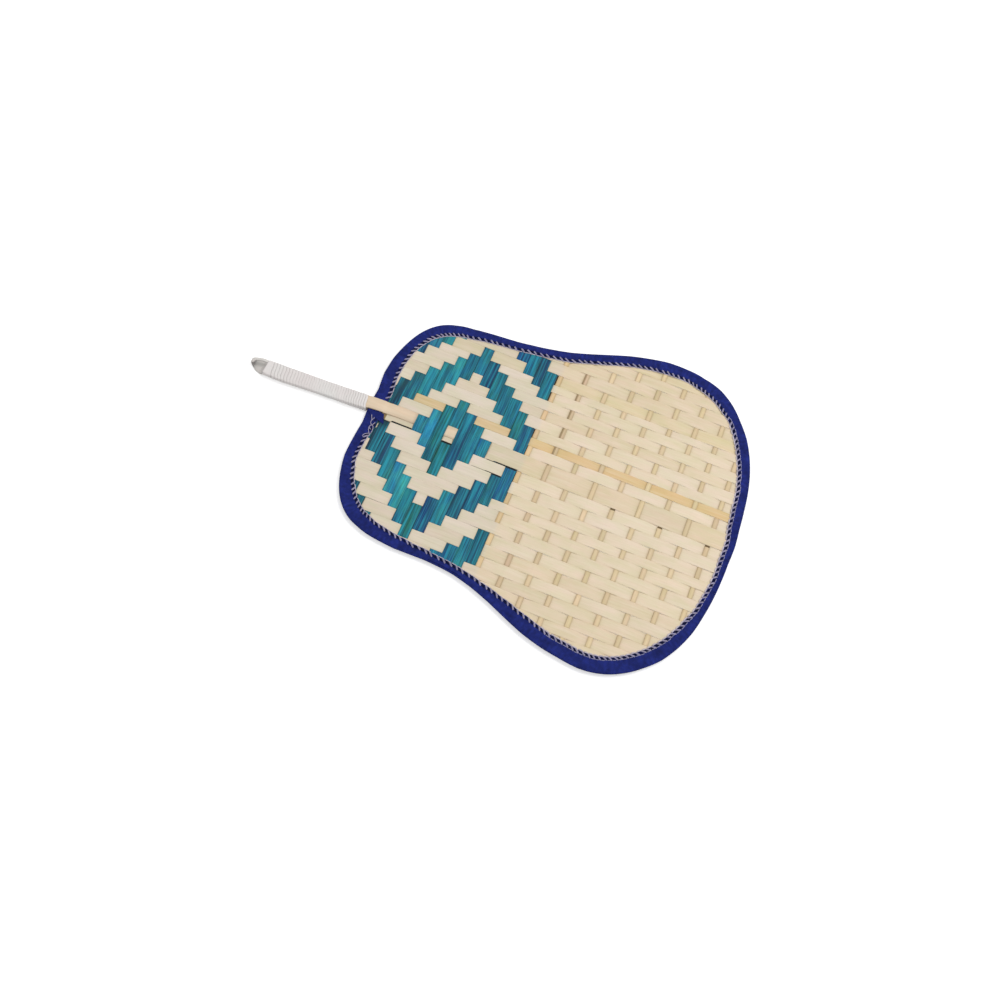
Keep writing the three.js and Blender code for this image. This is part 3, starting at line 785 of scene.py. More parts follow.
class FAN_OT_long_splints(bpy.types.Operator):
    """Weave the lengthwise splints"""

    bl_idname = "fan.long_splints"
    bl_label = "Lengthwise splints"

    def execute(self, context):
        settings = context.scene.fan_weave
        rise = weave_rise(settings)
        plain = bamboo("natural_bamboo", True, 0.3, screen(242, 230, 208), screen(206, 184, 150))
        darker = bamboo("tan_bamboo_long", True, 0.4, screen(238, 218, 184), screen(206, 170, 122))
        cross = columns()
        for row, node, low, high in rows():
            middle = (low + high) / 2
            crossings = []
            for column, dyed, _, a, b in cross:
                z = -rise if column_on_top(column, dyed, row) else rise
                off = 0 if dyed else PLAIN_LEAN * middle
                inset = 0 if dyed else PLAIN_INSET
                crossings.append((a + off + inset, b + off - inset, z))
            stain = srgb(ROW_STAINS[row])
            run = Run(crossings, 0.07, 0.7, DYED_END)
            splint = Splint(node, low, high, True, run, stain, 100 + row)
            splint.fall = (0.27, 0.18)
            splint.spread, splint.pinch = 0.25, 0.06
            splint.shade_hue, splint.rub = NATURAL_SHADE, DYE_RUB
            splint.notches, splint.places = ROW_NOTCHES.get(row, ()), ROW_PLACES.get(row, ())
            piece = splint.build(darker if row == DARKER_ROW else plain, settings)
        return {"FINISHED"}


def cross_crossings(column, dyed, low, high, settings):
    """Crossings of a cross splint with the lengthwise ones, and with a leg at the middle."""
    rise, over = weave_rise(settings), settings.leg_rise / MM
    middle = (low + high) / 2
    crossings = []
    low_edges = {row: a for row, _, a, _ in rows()}
    for row, _, a, b in rows():
        top = column_on_top(column, dyed, row)
        z = rise if top else -rise
        start, stop = (
            (FRONT_SHOULDER_IN_BLADE, FRONT_LEG_IN_BLADE) if top
            else (BACK_STEP_IN_BLADE, BACK_LEG_IN_BLADE)
        )
        for _, first, last, deep in ROW_NOTCHES.get(row, ()):
            if first < middle < last:
                a = max(a, low_edges[row] + deep)
        if row == 0 and start < middle and low < stop:
            leg_low, leg_high = leg_edges(middle)
            lifted = (leg_low - LEG_MARGIN, min(leg_high, TIP_HIGH) + LEG_MARGIN)
            crossings.append((a, a + LEG_MARGIN, z))
            crossings.append((*lifted, math.copysign(over, z)))
            crossings.append((b - LEG_MARGIN, b, z))
        else:
            crossings.append((a, b, z))
    return crossings


class FAN_OT_cross_splints(bpy.types.Operator):
    """Weave the dyed and the plain cross splints"""

    bl_idname = "fan.cross_splints"
    bl_label = "Cross splints"

    def execute(self, context):
        settings = context.scene.fan_weave
        dyed_finish = bamboo(
            "dyed_bamboo", False, 0.95, screen(44, 166, 188), screen(0, 30, 60), sizes=DYED_SIZES,
            tints=DYED_TINTS,
        )
        plain_finish = bamboo(
            "tan_bamboo_cross", False, 0.35, screen(238, 217, 180), screen(192, 160, 118)
        )
        for number, (column, dyed, node, low, high) in enumerate(columns()):
            run = Run(cross_crossings(column, dyed, low, high, settings), 0.05)
            if dyed:
                stain = DYED_STAINS[number]
            else:
                stain = {0: ORANGE_STAIN, 1: DUSKY_STAIN, 8: LAST_STAIN}.get(column, PLAIN_STAIN)
            inset = 0 if dyed else PLAIN_INSET
            splint = Splint(node, low + inset, high - inset, False, run, srgb(stain), 200 + number)
            if dyed:
                splint.fall, splint.edge_dark = (0.34, 0.16), 0.42
                splint.spread, splint.pinch = 0.235, 0.06
                splint.hue = (-0.4, 0.7, -1.0)
                splint.tone, splint.hue_spread = settings.dye_variation, 0.1
                splint.notches = COLUMN_NOTCHES.get(column, ())
                splint.places = DYED_PLACES.get(column, ())
            else:
                splint.dome, splint.lean = 0.12, PLAIN_LEAN
                splint.edge_dark, splint.edge_reach = 0.26, 0.9
                splint.tone, splint.shade_hue = 0.06, PLAIN_SHADE
                if column in SHADOW_DASH_COLUMNS:
                    splint.places = SHADOW_DASH_PLACES
                # Painted shadow on this column's side towards the root.
                if column == HALF_SHADED_COLUMN:
                    splint.dark_half = (0.4, 7.0, 0.58)
            piece = splint.build(dyed_finish if dyed else plain_finish, settings)
        return {"FINISHED"}


# ---------------------------------------------------------------- binding and stitches


CLOTH_TOP = 0.98
CLOTH_HALF = 0.2
MAT_TOP = 0.42
STEPS_PER_STITCH = 12
GAP_START = 0.114
GAP_SLANT = 5.9
GAP_HALF_WIDTH = 0.36
GAP_MIDDLE = 1.25
GAP_HALF_LENGTH = 1.3
THREAD_SIDES = 7

# How far a stitch pulls the hem, how deep the cloth sinks in the gap beside it, and how dark the
# painted shade in that gap is.
HEM_PULL = 0.2
GAP_DEPTH = 0.16
GAP_DARK = 0.86

# How much painted shade darkens the cloth at the fold, and over what width.
FOLD_DARK, FOLD_DARK_WIDTH = 0.12, 0.9

# Unevenness of the cloth: its strength, and its length along the edge and across it.
CLOTH_CLOUDS = (0.3, 11, 5)
CLOTH_FLECKS = (0.34, 1.9, 2.6)

# The back fold's width wanders by this much, this many times round the edge.
BACK_FOLD_WANDER, BACK_FOLD_WAVES = 0.6, 24

# The cloth lies calm beside the handle, up to this far from its middle, and livens over the fade.
CALM_REACH, CALM_FADE = 8, 5

# Corners of the tape's loose end, and the steps along each of its sides.
LOOSE_END = ((1.6, -4.0), (14.6, -3.2), (17.7, -11.8), (5.4, -9.4))
LOOSE_END_STEPS = 14


def front_fold(share):
    return between(FRONT_FOLD_WIDTHS, share, smooth=True)


def back_fold(share):
    return BACK_FOLD_WIDTH + BACK_FOLD_WANDER * wander(share * BACK_FOLD_WAVES, 0, 0, 9)


def from_leg(share):
    """Distance along the edge from the middle of the handle, less than zero on its right."""
    share %= 1.0
    return (share if share < 0.5 else share - 1) * EDGE.length


def near_leg(share):
    """1 where the handle crosses the edge, falling to 0 beside it."""
    return 1 - ease((abs(from_leg(share)) - CALM_REACH) / CALM_FADE)


class FanBindingSettings(bpy.types.PropertyGroup):
    cloth_colour: FloatVectorProperty(
        name="Cloth colour", description="Colour of the edge binding", default=screen(31, 41, 109),
        subtype="COLOR_GAMMA", size=3, min=0.0, max=1.0,
    )
    thread_colour: FloatVectorProperty(
        name="Thread colour", description="Colour of the whipping thread",
        default=screen(178, 172, 198), subtype="COLOR_GAMMA", size=3, min=0.0, max=1.0,
    )
    stitch_pitch: FloatProperty(
        name="Stitch pitch", description="Distance from one stitch to the next", default=0.005,
        min=0.002, unit="LENGTH", precision=4,
    )
    strand_width: FloatProperty(
        name="Strand width", description="Width of each of the two strands of a stitch",
        default=0.00062, min=0.0001, unit="LENGTH", precision=5,
    )
    wrinkle_height: FloatProperty(
        name="Wrinkle height", description="Height of the wrinkles in the cloth", default=0.00024,
        min=0.0, unit="LENGTH", precision=5,
    )


def uneven(pattern, run, a, seed):
    """Unevenness of the cloth at one place along the edge and across it."""
    strength, along, across = pattern
    return strength * wander(run / along, a / across, 0, seed)


def fold_profile(front, back):
    """Middle of the folded cloth, from the front hem round the edge to the back hem."""
    top = CLOTH_TOP - CLOTH_HALF
    return [
        (front, top - 0.3), (front - 0.12, top - 0.1), (front - 0.45, top + 0.02),
        (front - 0.9, top + 0.04), (front - 1.35, top + 0.04), (front - 1.8, top + 0.03),
        (front - 2.25, top + 0.02), (front - 2.7, top + 0.02), (front - 3.2, top + 0.04),
        (front * 0.5, top), (front * 0.34, top), (front * 0.2, top), (1.5, top - 0.04),
        (0.75, top - 0.18), (0.32, top - 0.42),
        (0.2, 0.0), (0.32, 0.42 - top), (0.75, 0.18 - top), (1.5, 0.04 - top),
        (back * 0.3, -top), (back * 0.5, -top), (back * 0.7, -top), (back - 1.4, -top - 0.03),
        (back - 0.5, -top - 0.02), (back - 0.12, 0.1 - top), (back, 0.3 - top),
    ]


def thicken(profile):
    """The two faces of a section, half a cloth's thickness either side of its middle."""
    outer, inner = [], []
    for i, (a, z) in enumerate(profile):
        before, after = beside(profile, i)
        da, dz = after[0] - before[0], after[1] - before[1]
        run = math.hypot(da, dz)
        na, nz = dz / run, -da / run
        outer.append((a + na * CLOTH_HALF, z + nz * CLOTH_HALF))
        inner.append((a - na * CLOTH_HALF, z - nz * CLOTH_HALF))
    return outer + inner[::-1]


def stitch_count(settings):
    return round(EDGE.length / (settings.stitch_pitch / MM))


class FAN_OT_edge_binding(bpy.types.Operator):
    """Fold the cloth tape over the edge of the blade, with its loose end beside the handle"""

    bl_idname = "fan.edge_binding"
    bl_label = "Edge binding"

    def execute(self, context):
        settings = context.scene.fan_binding
        count = stitch_count(settings)
        high = settings.wrinkle_height / MM
        points, colours = [], []
        steps = count * STEPS_PER_STITCH
        for i in range(steps):
            share = i / steps
            x, y, ix, iy = EDGE.at(share)
            calm = 1 - near_leg(share)
            run = share * EDGE.length
            front, back = front_fold(share), back_fold(share)
            pull = HEM_PULL * math.cos(2 * math.pi * share * count) * calm
            for a, z in thicken(fold_profile(front + pull, back - pull)):
                crease = wander(run / 7 + a * 0.08, a / 16, 1 if z > 0 else 9, 4)
                crease += 0.6 * wander(run / 2.6 + a * 0.2, a / 9, 3 if z > 0 else 7, 5)
                off_hem = front - a if z > 0 else back - a
                gap = calm * self.gap_between_stitches(share * count, off_hem)
                flat = min(a / 2.5, 1.0) * calm
                lift = high * flat * max(crease, -0.5) - GAP_DEPTH * gap
                points.append((x + ix * a, y + iy * a, z + math.copysign(lift, z)))
                # Painted shade at the fold and in the gaps beside the stitches, times the cloth's
                # own uneven tone.
                dark = (1 - FOLD_DARK * math.exp(-a / FOLD_DARK_WIDTH)) * (1 - GAP_DARK * gap)
                dark *= 1 + uneven(CLOTH_CLOUDS, run, a, 12) * calm
                dark *= 1 + uneven(CLOTH_FLECKS, run, a, 13)
                colours.append((dark, dark, dark))
        faces = tube_faces(steps, len(points) // steps, closed=True)
        material = cloth("binding_cloth", settings.cloth_colour)
        tape = add_piece("edge_binding_tape", points, faces, material, colours)
        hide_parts("edge_binding")
        end = self.loose_end(material)
        return {"FINISHED"}

    @staticmethod
    def gap_between_stitches(place, off_hem):
        """1 in the middle of the slanted gap between two stitches, which is sunk and painted with
        shade, 0 away from it.
        """
        phase = (place + off_hem / GAP_SLANT - GAP_START) % 1.0
        across = min(phase, 1 - phase) / GAP_HALF_WIDTH
        along = (off_hem - GAP_MIDDLE) / GAP_HALF_LENGTH
        if across >= 1 or abs(along) >= 1:
            return 0.0
        return max(1 - across ** 4 - along ** 4, 0.0) ** 0.5

    @staticmethod
    def loose_end(material):
        """The end of the tape, turned down to a point between the leg and the first stitches."""
        size = LOOSE_END_STEPS
        faces, points, colours = [], [], []
        for side in (1, -1):
            for i in range(size + 1):
                u = i / size
                for j in range(size + 1):
                    v = j / size
                    x, y = (
                        lerp(lerp(a, b, u), lerp(d, c, u), v) for a, b, c, d in zip(*LOOSE_END)
                    )
                    y += 0.5 * math.sin(math.pi * u) * v
                    on_mat = ease((x - 11.8) / 1.6)
                    z = lerp(CLOTH_TOP + 0.2, MAT_TOP + 0.22, on_mat)
                    z += 0.12 * wander(x / 2.5, y / 2.5, 0, 30)
                    rim = min(u, 1 - u, v, 1 - v) * size
                    z += side * (0.15 if rim >= 1 else 0.06) + 0.1 * (1 - v) * (1 - on_mat)
                    points.append((x, y, z))
                    shade = 0.92 + 0.16 * wander(x / 3, y / 3, 2, 31)
                    colours.append((shade, shade, shade))
        row, layer = size + 1, (size + 1) ** 2
        for i in range(size):
            for j in range(size):
                a = i * row + j
                faces.append((a, a + row, a + row + 1, a + 1))
                faces.append((layer + a, layer + a + 1, layer + a + row + 1, layer + a + row))
        ring = [i * row for i in range(row)] + [size * row + j for j in range(1, row)]
        ring += [i * row + size for i in range(size - 1, -1, -1)] + list(range(size - 1, 0, -1))
        for a, b in zip(ring, ring[1:] + ring[:1]):
            faces.append((a, layer + a, layer + b, b))
        piece = add_piece("binding_loose_end", points, faces, material, colours)
        merge_close(piece)
        return piece


class Threads:
    """Points and faces of many lengths of thread."""

    def __init__(self, radius):
        self.radius, self.points, self.faces, self.colours = radius, [], [], []

    def add(self, path, shade=(1, 1, 1)):
        start = len(self.points)
        for i, p in enumerate(path):
            before, after = map(Vector, beside(path, i))
            ahead = (after - before).normalized()
            side = ahead.cross(Vector((0, 0, 1))).normalized()
            up = side.cross(ahead)
            thick = self.radius * (0.7 if i in (0, len(path) - 1) else 1.0)
            for j in range(THREAD_SIDES):
                turn = 2 * math.pi * j / THREAD_SIDES
                offset = side * math.cos(turn) * thick + up * math.sin(turn) * thick
                self.points.append(tuple(Vector(p) + offset))
                self.colours.append(shade)
        self.faces.extend(tube_faces(len(path), THREAD_SIDES, start))

    def piece(self, name, material):
        piece = add_piece(name, self.points, self.faces, material, self.colours)
        return piece


# A stitch from its outer end to the hem, and on along the hem to the next one: along the edge, and
# inward from the outer end, both in millimetres.
STITCH = [
    (-0.15, 0.17), (0.0, 0.0), (0.4, 0.26), (0.9, 0.72), (1.4, 1.19), (1.85, 1.66), (2.2, 2.04),
    (2.55, 2.31), (2.9, 2.47),
]
STITCH_REACH = 2.2

# The strands that run along the edge: along the edge, and inward from the hem. One lies at the hem
# all round. Round the head and on to the waist a second one lies beside it, and one more lies on
# the cloth between the outer ends of two stitches.
ALONG_HEM = (
    (1.9, 0.2), (2.5, 0.42), (3.3, 0.46), (4.2, 0.44), (5.1, 0.46), (6.0, 0.44), (6.8, 0.2),
)
BESIDE_HEM = ((2.5, 0.78), (3.3, 0.98), (4.6, 1.02), (5.9, 0.98), (6.7, 0.78))
ON_CLOTH = ((-4.3, -2.0), (-3.3, -2.36), (-1.6, -2.42), (-0.2, -2.15))
# The strands along the hem are lighter than the thread, a painted highlight; the strand on the
# cloth is darker and bluer.
HEM_STRAND_HIGHLIGHT = (1.65, 1.65, 1.3)
CLOTH_STRAND_SHADE = (0.78, 0.84, 1.0)

# How much one stitch differs from the next: its place as a share of the pitch, and its reach,
# length and tone.
STITCH_DRIFT = 0.1
REACH_SPREAD = 0.12
LENGTH_SPREAD = 0.2
TONE_RANGE = (-0.14, 0.08)

# How far back along the edge a stitch is set, how deep its ends sink, and how much it bows.
STITCH_SET_BACK = 1.7
THREAD_SINK = 0.5
THREAD_BOW = 0.1
LOOP_STEPS = 12

# Shares of the way round the edge between which the thread closes the gaps.
CLOSED_ROW = (0.38, 0.72)


# Where the row of stitches stops on each side of the handle, and the loops that the thread starts
# with on its right: X and Y of the four points that lead each curve.
FIRST_STITCH_PLACE = 24.0
LAST_STITCH_PLACE = 8.5
FIRST_LOOPS = (
    ((6.6, -8.3), (6.9, -10.2), (8.0, -11.0), (8.4, -12.9)),
    ((9.4, -9.9), (9.2, -11.0), (8.6, -11.8), (8.4, -12.9)),
    ((8.4, -12.6), (7.8, -15.0), (9.4, -16.4), (10.3, -17.0)),
    ((11.6, -13.4), (11.2, -15.0), (10.6, -16.0), (10.0, -17.0)),
    ((10.0, -16.6), (8.2, -18.2), (8.8, -20.2), (11.2, -20.4)),
    ((10.2, -16.4), (12.6, -17.6), (12.5, -21.0), (12.1, -24.4)),
    ((8.8, -18.6), (9.2, -21.0), (9.4, -22.5), (11.6, -24.6)),
    ((11.4, -24.2), (8.6, -25.2), (7.2, -27.0), (7.4, -28.6)),
)


def stitch_paths(share, front, reach, long, radius):
    """The strands along the hem and on the cloth, then the two of the stitch, side by side."""
    scaled = [(a * long, b * reach) for a, b in STITCH]
    ways = [ALONG_HEM, BESIDE_HEM, [(a, off_hem * reach) for a, off_hem in ON_CLOTH]]
    for side in (-1, 1):
        spots = []
        for i, (a, b) in enumerate(scaled):
            before, after = beside(scaled, i)
            da, db = after[0] - before[0], after[1] - before[1]
            off = radius * side / math.hypot(da, db)
            spots.append((a - db * off, b + da * off - STITCH_REACH * reach))
        ways.append(spots)
    paths = []
    for spots in ways:
        path = []
        for i, (a, off_hem) in enumerate(spots):
            spot = share + (a - STITCH_SET_BACK) / EDGE.length
            inward = (front_fold(spot) if front else back_fold(spot)) + off_hem
            on_cloth = 1 - ease((off_hem + 0.3) / 0.7)
            z = lerp(MAT_TOP + radius * 0.9, CLOTH_TOP + radius * 0.5, on_cloth)
            z -= THREAD_SINK if i in (0, len(spots) - 1) else 0.0
            z += THREAD_BOW * math.sin(math.pi * min(i / 8, 1))
            x, y = EDGE.inside(spot, inward)
            path.append((x, y, z if front else -z))
        paths.append(path)
    return paths


class FAN_OT_whip_stitches(bpy.types.Operator):
    """Whip the inner edge of the binding with double thread, front and back"""

    bl_idname = "fan.whip_stitches"
    bl_label = "Whip stitches"

    def execute(self, context):
        settings = context.scene.fan_binding
        rng = random.Random(7)
        threads = Threads(settings.strand_width / MM / 2)
        count = stitch_count(settings)
        for i in range(count):
            share = (i + 0.5 + rng.uniform(-STITCH_DRIFT, STITCH_DRIFT)) / count
            off = from_leg(share)
            reach = 1 + rng.uniform(-REACH_SPREAD, REACH_SPREAD)
            long = 1 + rng.uniform(-LENGTH_SPREAD, LENGTH_SPREAD)
            tone = 1 + rng.uniform(*TONE_RANGE)
            shade = (tone, tone * 0.985, tone)
            if -FIRST_STITCH_PLACE < off < LAST_STITCH_PLACE:
                continue
            for front in (True, False):
                hem, second, on_cloth, *strands = stitch_paths(
                    share, front, reach, long, threads.radius * 0.97
                )
                hem_shade = tuple(a * b for a, b in zip(shade, HEM_STRAND_HIGHLIGHT))
                threads.add(hem, hem_shade)
                if CLOSED_ROW[0] < share < CLOSED_ROW[1]:
                    threads.add(second, hem_shade)
                    threads.add(on_cloth, tuple(a * b for a, b in zip(shade, CLOTH_STRAND_SHADE)))
                for strand in strands:
                    threads.add(strand, shade)
        self.first_loops(threads)
        threads.piece("whip_stitches", thread("whipping_thread", settings.thread_colour))
        return {"FINISHED"}

    @staticmethod
    def first_loops(threads):
        """The thread's start: a few loose crossing strands between the tape's end and the row."""
        for loop in FIRST_LOOPS:
            path = []
            for i in range(LOOP_STEPS + 1):
                t = i / LOOP_STEPS
                weights = ((1 - t) ** 3, 3 * t * (1 - t) ** 2, 3 * t * t * (1 - t), t ** 3)
                x, y = (sum(w * p[k] for w, p in zip(weights, loop)) for k in (0, 1))
                z = CLOTH_TOP + 0.1 + threads.radius + 0.45 * ease((y + 11.5) / 1.5)
                path.append((x, y, z + 0.15 * math.sin(math.pi * t)))
            threads.add(path)


# ---------------------------------------------------------------- handle


STRIP_THICKNESS = 1.4
LOOP_HALF = 2.4
LOOP_END = 9.0
NECK_END = 15.0
LOOP_TIP_EDGES = (-0.6, 2.3)
LOOP_LOW_TAPER = (12.5, 2.1)
LOOP_HIGH_TAPER = (18.0, 1.5)
BACK_EXTRA = 1.2
TONGUE_END = 16.0
GRIP_HALF_GAP = 0.4
SPREAD_START = 76.0
SPREAD_LENGTH = 18.0
LEG_OVER_EDGE = 1.1
LEG_OVER_MAT = 0.5
STEP_START = 110.4
STEP_DOWN = 1.2
TIP_THICKNESS = 0.4
FRONT_SHOULDER = 137.0
FRONT_END = 191.5
BACK_END = 211.5
BEND = STRIP_THICKNESS + LOOP_HALF
BEND_STEPS = 24
FINE_STEP, COARSE_STEP = 0.8, 2.5
FINE_AT_LOOP = 24.0
FINE_AT_STEP = (108.0, 113.0)

# Half the strip's width, and half the length over which its legs come onto the middle splint.
STRIP_HALF = 5.6
SETTLE_HALF = 3

# The strip's rounded corner as a share of its thickness, and where the loop's wear ends.
CORNER_SHARE = 0.28
WEAR_END, WEAR_FADE = 12, 30

# How much less the handle reaches on its left side, up to a place and fading after it.
HIGH_TRIM = 0.4
HIGH_TRIM_END, HIGH_TRIM_FADE = 56, 30

# How much further the handle reaches on its right side, every 10 mm from the loop's tip.
LOW_EXTRA = (0.2, 0.9, 1.65, 1.85, 1.5, 1.1, 0.85, 0.75, 0.65, 0.4, 0.0)
LOW_EXTRA_STEP = 10.0


def low_extra(x):
    """How much further the handle reaches on its right side near the loop."""
    spot = min(max(x / LOW_EXTRA_STEP, 0.0), len(LOW_EXTRA) - 1.001)
    last = int(spot)
    return lerp(LOW_EXTRA[last], LOW_EXTRA[last + 1], spot - last)


def high_trim(x):
    """How much less it reaches on its left side there."""
    return HIGH_TRIM * (1 - ease((x - HIGH_TRIM_END) / HIGH_TRIM_FADE))


def leg_inside(x):
    neck = ease((x - LOOP_END) / (NECK_END - LOOP_END))
    spread = ease((x - SPREAD_START) / SPREAD_LENGTH)
    down = ease((x - STEP_START) / STEP_DOWN)
    height = lerp(LOOP_HALF, GRIP_HALF_GAP, neck)
    return height + (LEG_OVER_EDGE - GRIP_HALF_GAP) * spread + (LEG_OVER_MAT - LEG_OVER_EDGE) * down


def leg_thickness(x, shoulder):
    share = (x - FREE_LENGTH) / (shoulder - FREE_LENGTH)
    return lerp(STRIP_THICKNESS, TIP_THICKNESS, min(max(share, 0), 1))


def strip_step(x):
    """Closer steps at the loop and where the legs step down onto the mat."""
    fine = x < FINE_AT_LOOP or FINE_AT_STEP[0] < x < FINE_AT_STEP[1]
    return FINE_STEP if fine else COARSE_STEP


def strip_stations():
    """Places along the strip: down the front leg, round the bend and back along the other leg."""
    stations = []
    x = FRONT_END
    while x > BEND:
        stations.append((x, 1))
        x -= strip_step(x)
    stations.extend((i / BEND_STEPS, 0) for i in range(BEND_STEPS + 1))
    x = BEND + FINE_STEP
    while x < BACK_END:
        stations.append((x, -1))
        x += strip_step(x)
    return stations


def handle_place(x, y, z):
    """A place given from the loop's tip, along the handle's own line."""
    dx = x - FREE_LENGTH
    return (
        dx * math.cos(LEAN) - y * math.sin(LEAN),
        ROOT_OFFSET + dx * math.sin(LEAN) + y * math.cos(LEAN),
        z,
    )


class FanHandleSettings(bpy.types.PropertyGroup):
    handle_width: FloatProperty(
        name="Handle width", description="Width of the bamboo strip", default=0.0112, min=0.004,
        unit="LENGTH", precision=4,
    )
    tongue_width: FloatProperty(
        name="Tongue width", description="Width of the whittled front of the loop", default=0.0026,
        min=0.001, unit="LENGTH", precision=4,
    )
    strip_colour: FloatVectorProperty(
        name="Strip colour", description="Colour of the bamboo strip",
        default=screen(230, 208, 180), subtype="COLOR_GAMMA", size=3, min=0.0, max=1.0,
    )
    loop_colour: FloatVectorProperty(
        name="Loop colour", description="Colour of the worn strip at the hanging loop",
        default=screen(225, 222, 220), subtype="COLOR_GAMMA", size=3, min=0.0, max=1.0,
    )
    tape_colour: FloatVectorProperty(
        name="Tape colour", description="Colour of the grip tape", default=screen(231, 229, 226),
        subtype="COLOR_GAMMA", size=3, min=0.0, max=1.0,
    )


class FAN_OT_handle_strip(bpy.types.Operator):
    """Bend the bamboo strip double and tuck its legs into the blade"""

    bl_idname = "fan.handle_strip"
    bl_label = "Handle strip"

    def execute(self, context):
        settings = context.scene.fan_handle
        width, tongue = settings.handle_width / MM, settings.tongue_width / MM
        points, shades, stains = [], [], []
        strip, loop = srgb(settings.strip_colour), srgb(settings.loop_colour)
        stations = strip_stations()
        for value, side in stations:
            low, high, thick, middle, normal = self.section(value, side, width, tongue)
            spot = value if side else middle[0]
            worn = 1 - ease((spot - WEAR_END) / WEAR_FADE)
            corner, half = CORNER_SHARE * thick, thick / 2
            inner = [
                (low, corner - half), (low + corner * 0.35, corner * 0.3 - half),
                (low + corner, -half), (lerp(low, high, 0.3), -half),
                (lerp(low, high, 0.7), -half), (high - corner, -half),
                (high - corner * 0.35, corner * 0.3 - half), (high, corner - half),
            ]
            ring = inner + [(y, -out) for y, out in reversed(inner)]
            for y, out in ring:
                px, pz = middle[0] + normal[0] * out, middle[1] + normal[1] * out
                points.append(self.lay(px, y, pz, spot, side))
                tone = 1 + 0.05 * wander(spot / 14, y / 1.6, side, 21)
                # Painted shade on the inner face of the loop, darkest in the bend.
                if out < 0 and spot < 20:
                    tone *= 0.93 - 0.45 * math.exp(-max(spot - BEND + 1.2, 0) / 1.2)
                # Painted shade along both edges of the strip, more on its right edge.
                tone *= 1 - 0.12 * math.exp(-(high - y) / 0.4) - 0.25 * math.exp(-(y - low) / 0.4)
                # Painted shade across the front leg at its shoulder.
                if side > 0:
                    tone *= 1 - 0.3 * math.exp(-abs(FRONT_SHOULDER - spot) / 0.8)
                shades.append((tone, tone, tone))
                stains.append([lerp(a, b, worn) for a, b in zip(strip, loop)])
        material = bamboo(
            "handle_bamboo", True, 0.2, screen(238, 222, 204), screen(206, 180, 152), 0.48,
            tints=HANDLE_TINTS,
        )
        faces = tube_faces(len(stations), len(ring))
        piece = add_piece("handle_strip_bent", points, faces, material, shades, stains)
        merge_close(piece, 1e-7)
        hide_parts("handle_strip")
        return {"FINISHED"}

    @staticmethod
    def section(value, side, width, tongue):
        """Edges, thickness, middle and outward direction of the strip at one place."""
        if side == 0:
            turn = math.pi / 2 + math.pi * value
            radius = LOOP_HALF + STRIP_THICKNESS / 2
            normal = (math.cos(turn), math.sin(turn))
            middle = (BEND + radius * normal[0], radius * normal[1])
            spot, thick = middle[0] - STRIP_THICKNESS / 2, STRIP_THICKNESS
        else:
            thick = leg_thickness(value, FRONT_SHOULDER if side > 0 else STEP_START)
            middle = (value, side * (leg_inside(value) + thick / 2))
            normal = (0.0, float(side))
            spot = value
        low, high = (
            lerp(half, tip, (1 - min(max(spot / length, 0.0), 1.0)) ** power)
            for half, tip, (length, power) in zip(
                (-width / 2, width / 2), LOOP_TIP_EDGES, (LOOP_LOW_TAPER, LOOP_HIGH_TAPER)
            )
        )
        low, high = low - low_extra(spot), high - high_trim(spot)
        at_back = {1: 0.0, 0: ease(value), -1: 1.0}[side]
        high += BACK_EXTRA * at_back * ease(1.6 * (1 - spot / LOOP_HIGH_TAPER[0]))
        if side >= 0 and spot < TONGUE_END + 8:
            whole = ease((spot - TONGUE_END) / 6.0) if side > 0 else ease(value / 0.12)
            low = lerp(max(high - tongue, low), low, whole)
        return low, high, thick, middle, normal

    @staticmethod
    def lay(px, y, pz, spot, side):
        """In the blade the strip keeps to the middle splint, outside it to the handle's line."""
        x, hy, z = handle_place(px, y, pz)
        if side and spot > FREE_LENGTH - SETTLE_HALF:
            settled = lerp(*leg_edges(x), (y + STRIP_HALF) / (2 * STRIP_HALF))
            hy = lerp(hy, settled, ease((spot - FREE_LENGTH + SETTLE_HALF) / (2 * SETTLE_HALF)))
        return x, hy, z


TAPE_START = 12.8
TAPE_END = FREE_LENGTH + 0.3
TAPE_SLANT = 2.2
FIRST_SLANT = -1.2
FIRST_TURN = 5.0
TURN_WIDTHS = ((7, 2.6), (5, 2.3), (99, 2.02))
LEAST_RIDGE = 0.3
TAPE_HALF = 0.16
TAPE_CLEAR_Y, TAPE_CLEAR_Z = 0.28, 0.26
STEPS_AROUND = 44

# Where the turns stand out: fading away from the loop up to a place, and growing towards the blade
# from another, each with the length of its fade.
LOOP_RIDGE = 0.75
RIDGE_NEAR_LOOP = (44, 16)
RIDGE_NEAR_BLADE = (74, 14)

# Section of a turn: along the handle as a share of its width, and outward in half thicknesses.
TURN_SECTION = (
    (-0.49, -0.6), (-0.2, -1.0), (0.2, -1.0), (0.49, -0.6), (0.49, 0.1), (0.4, 1.1), (0.18, 1.7),
    (-0.12, 1.75), (-0.4, 1.2), (-0.49, 0.2),
)

# How square the wound grip is: 1 is round, and less is squarer.
GRIP_ROUNDNESS = 0.42


def tape_edges():
    """Where each turn of the tape begins, from the loop to the blade."""
    edges = [TAPE_START, TAPE_START + FIRST_TURN]
    for count, width in TURN_WIDTHS:
        for _ in range(count):
            if edges[-1] + width < TAPE_END:
                edges.append(edges[-1] + width)
    edges[-1] = TAPE_END
    return edges


def ridge(x):
    """How strongly the tape's turns stand out: plainly near both ends, and little between them."""
    near_loop = LOOP_RIDGE * ease((RIDGE_NEAR_LOOP[0] - x) / RIDGE_NEAR_LOOP[1])
    near_blade = ease((x - RIDGE_NEAR_BLADE[0]) / RIDGE_NEAR_BLADE[1])
    return LEAST_RIDGE + (1 - LEAST_RIDGE) * max(near_loop, near_blade)


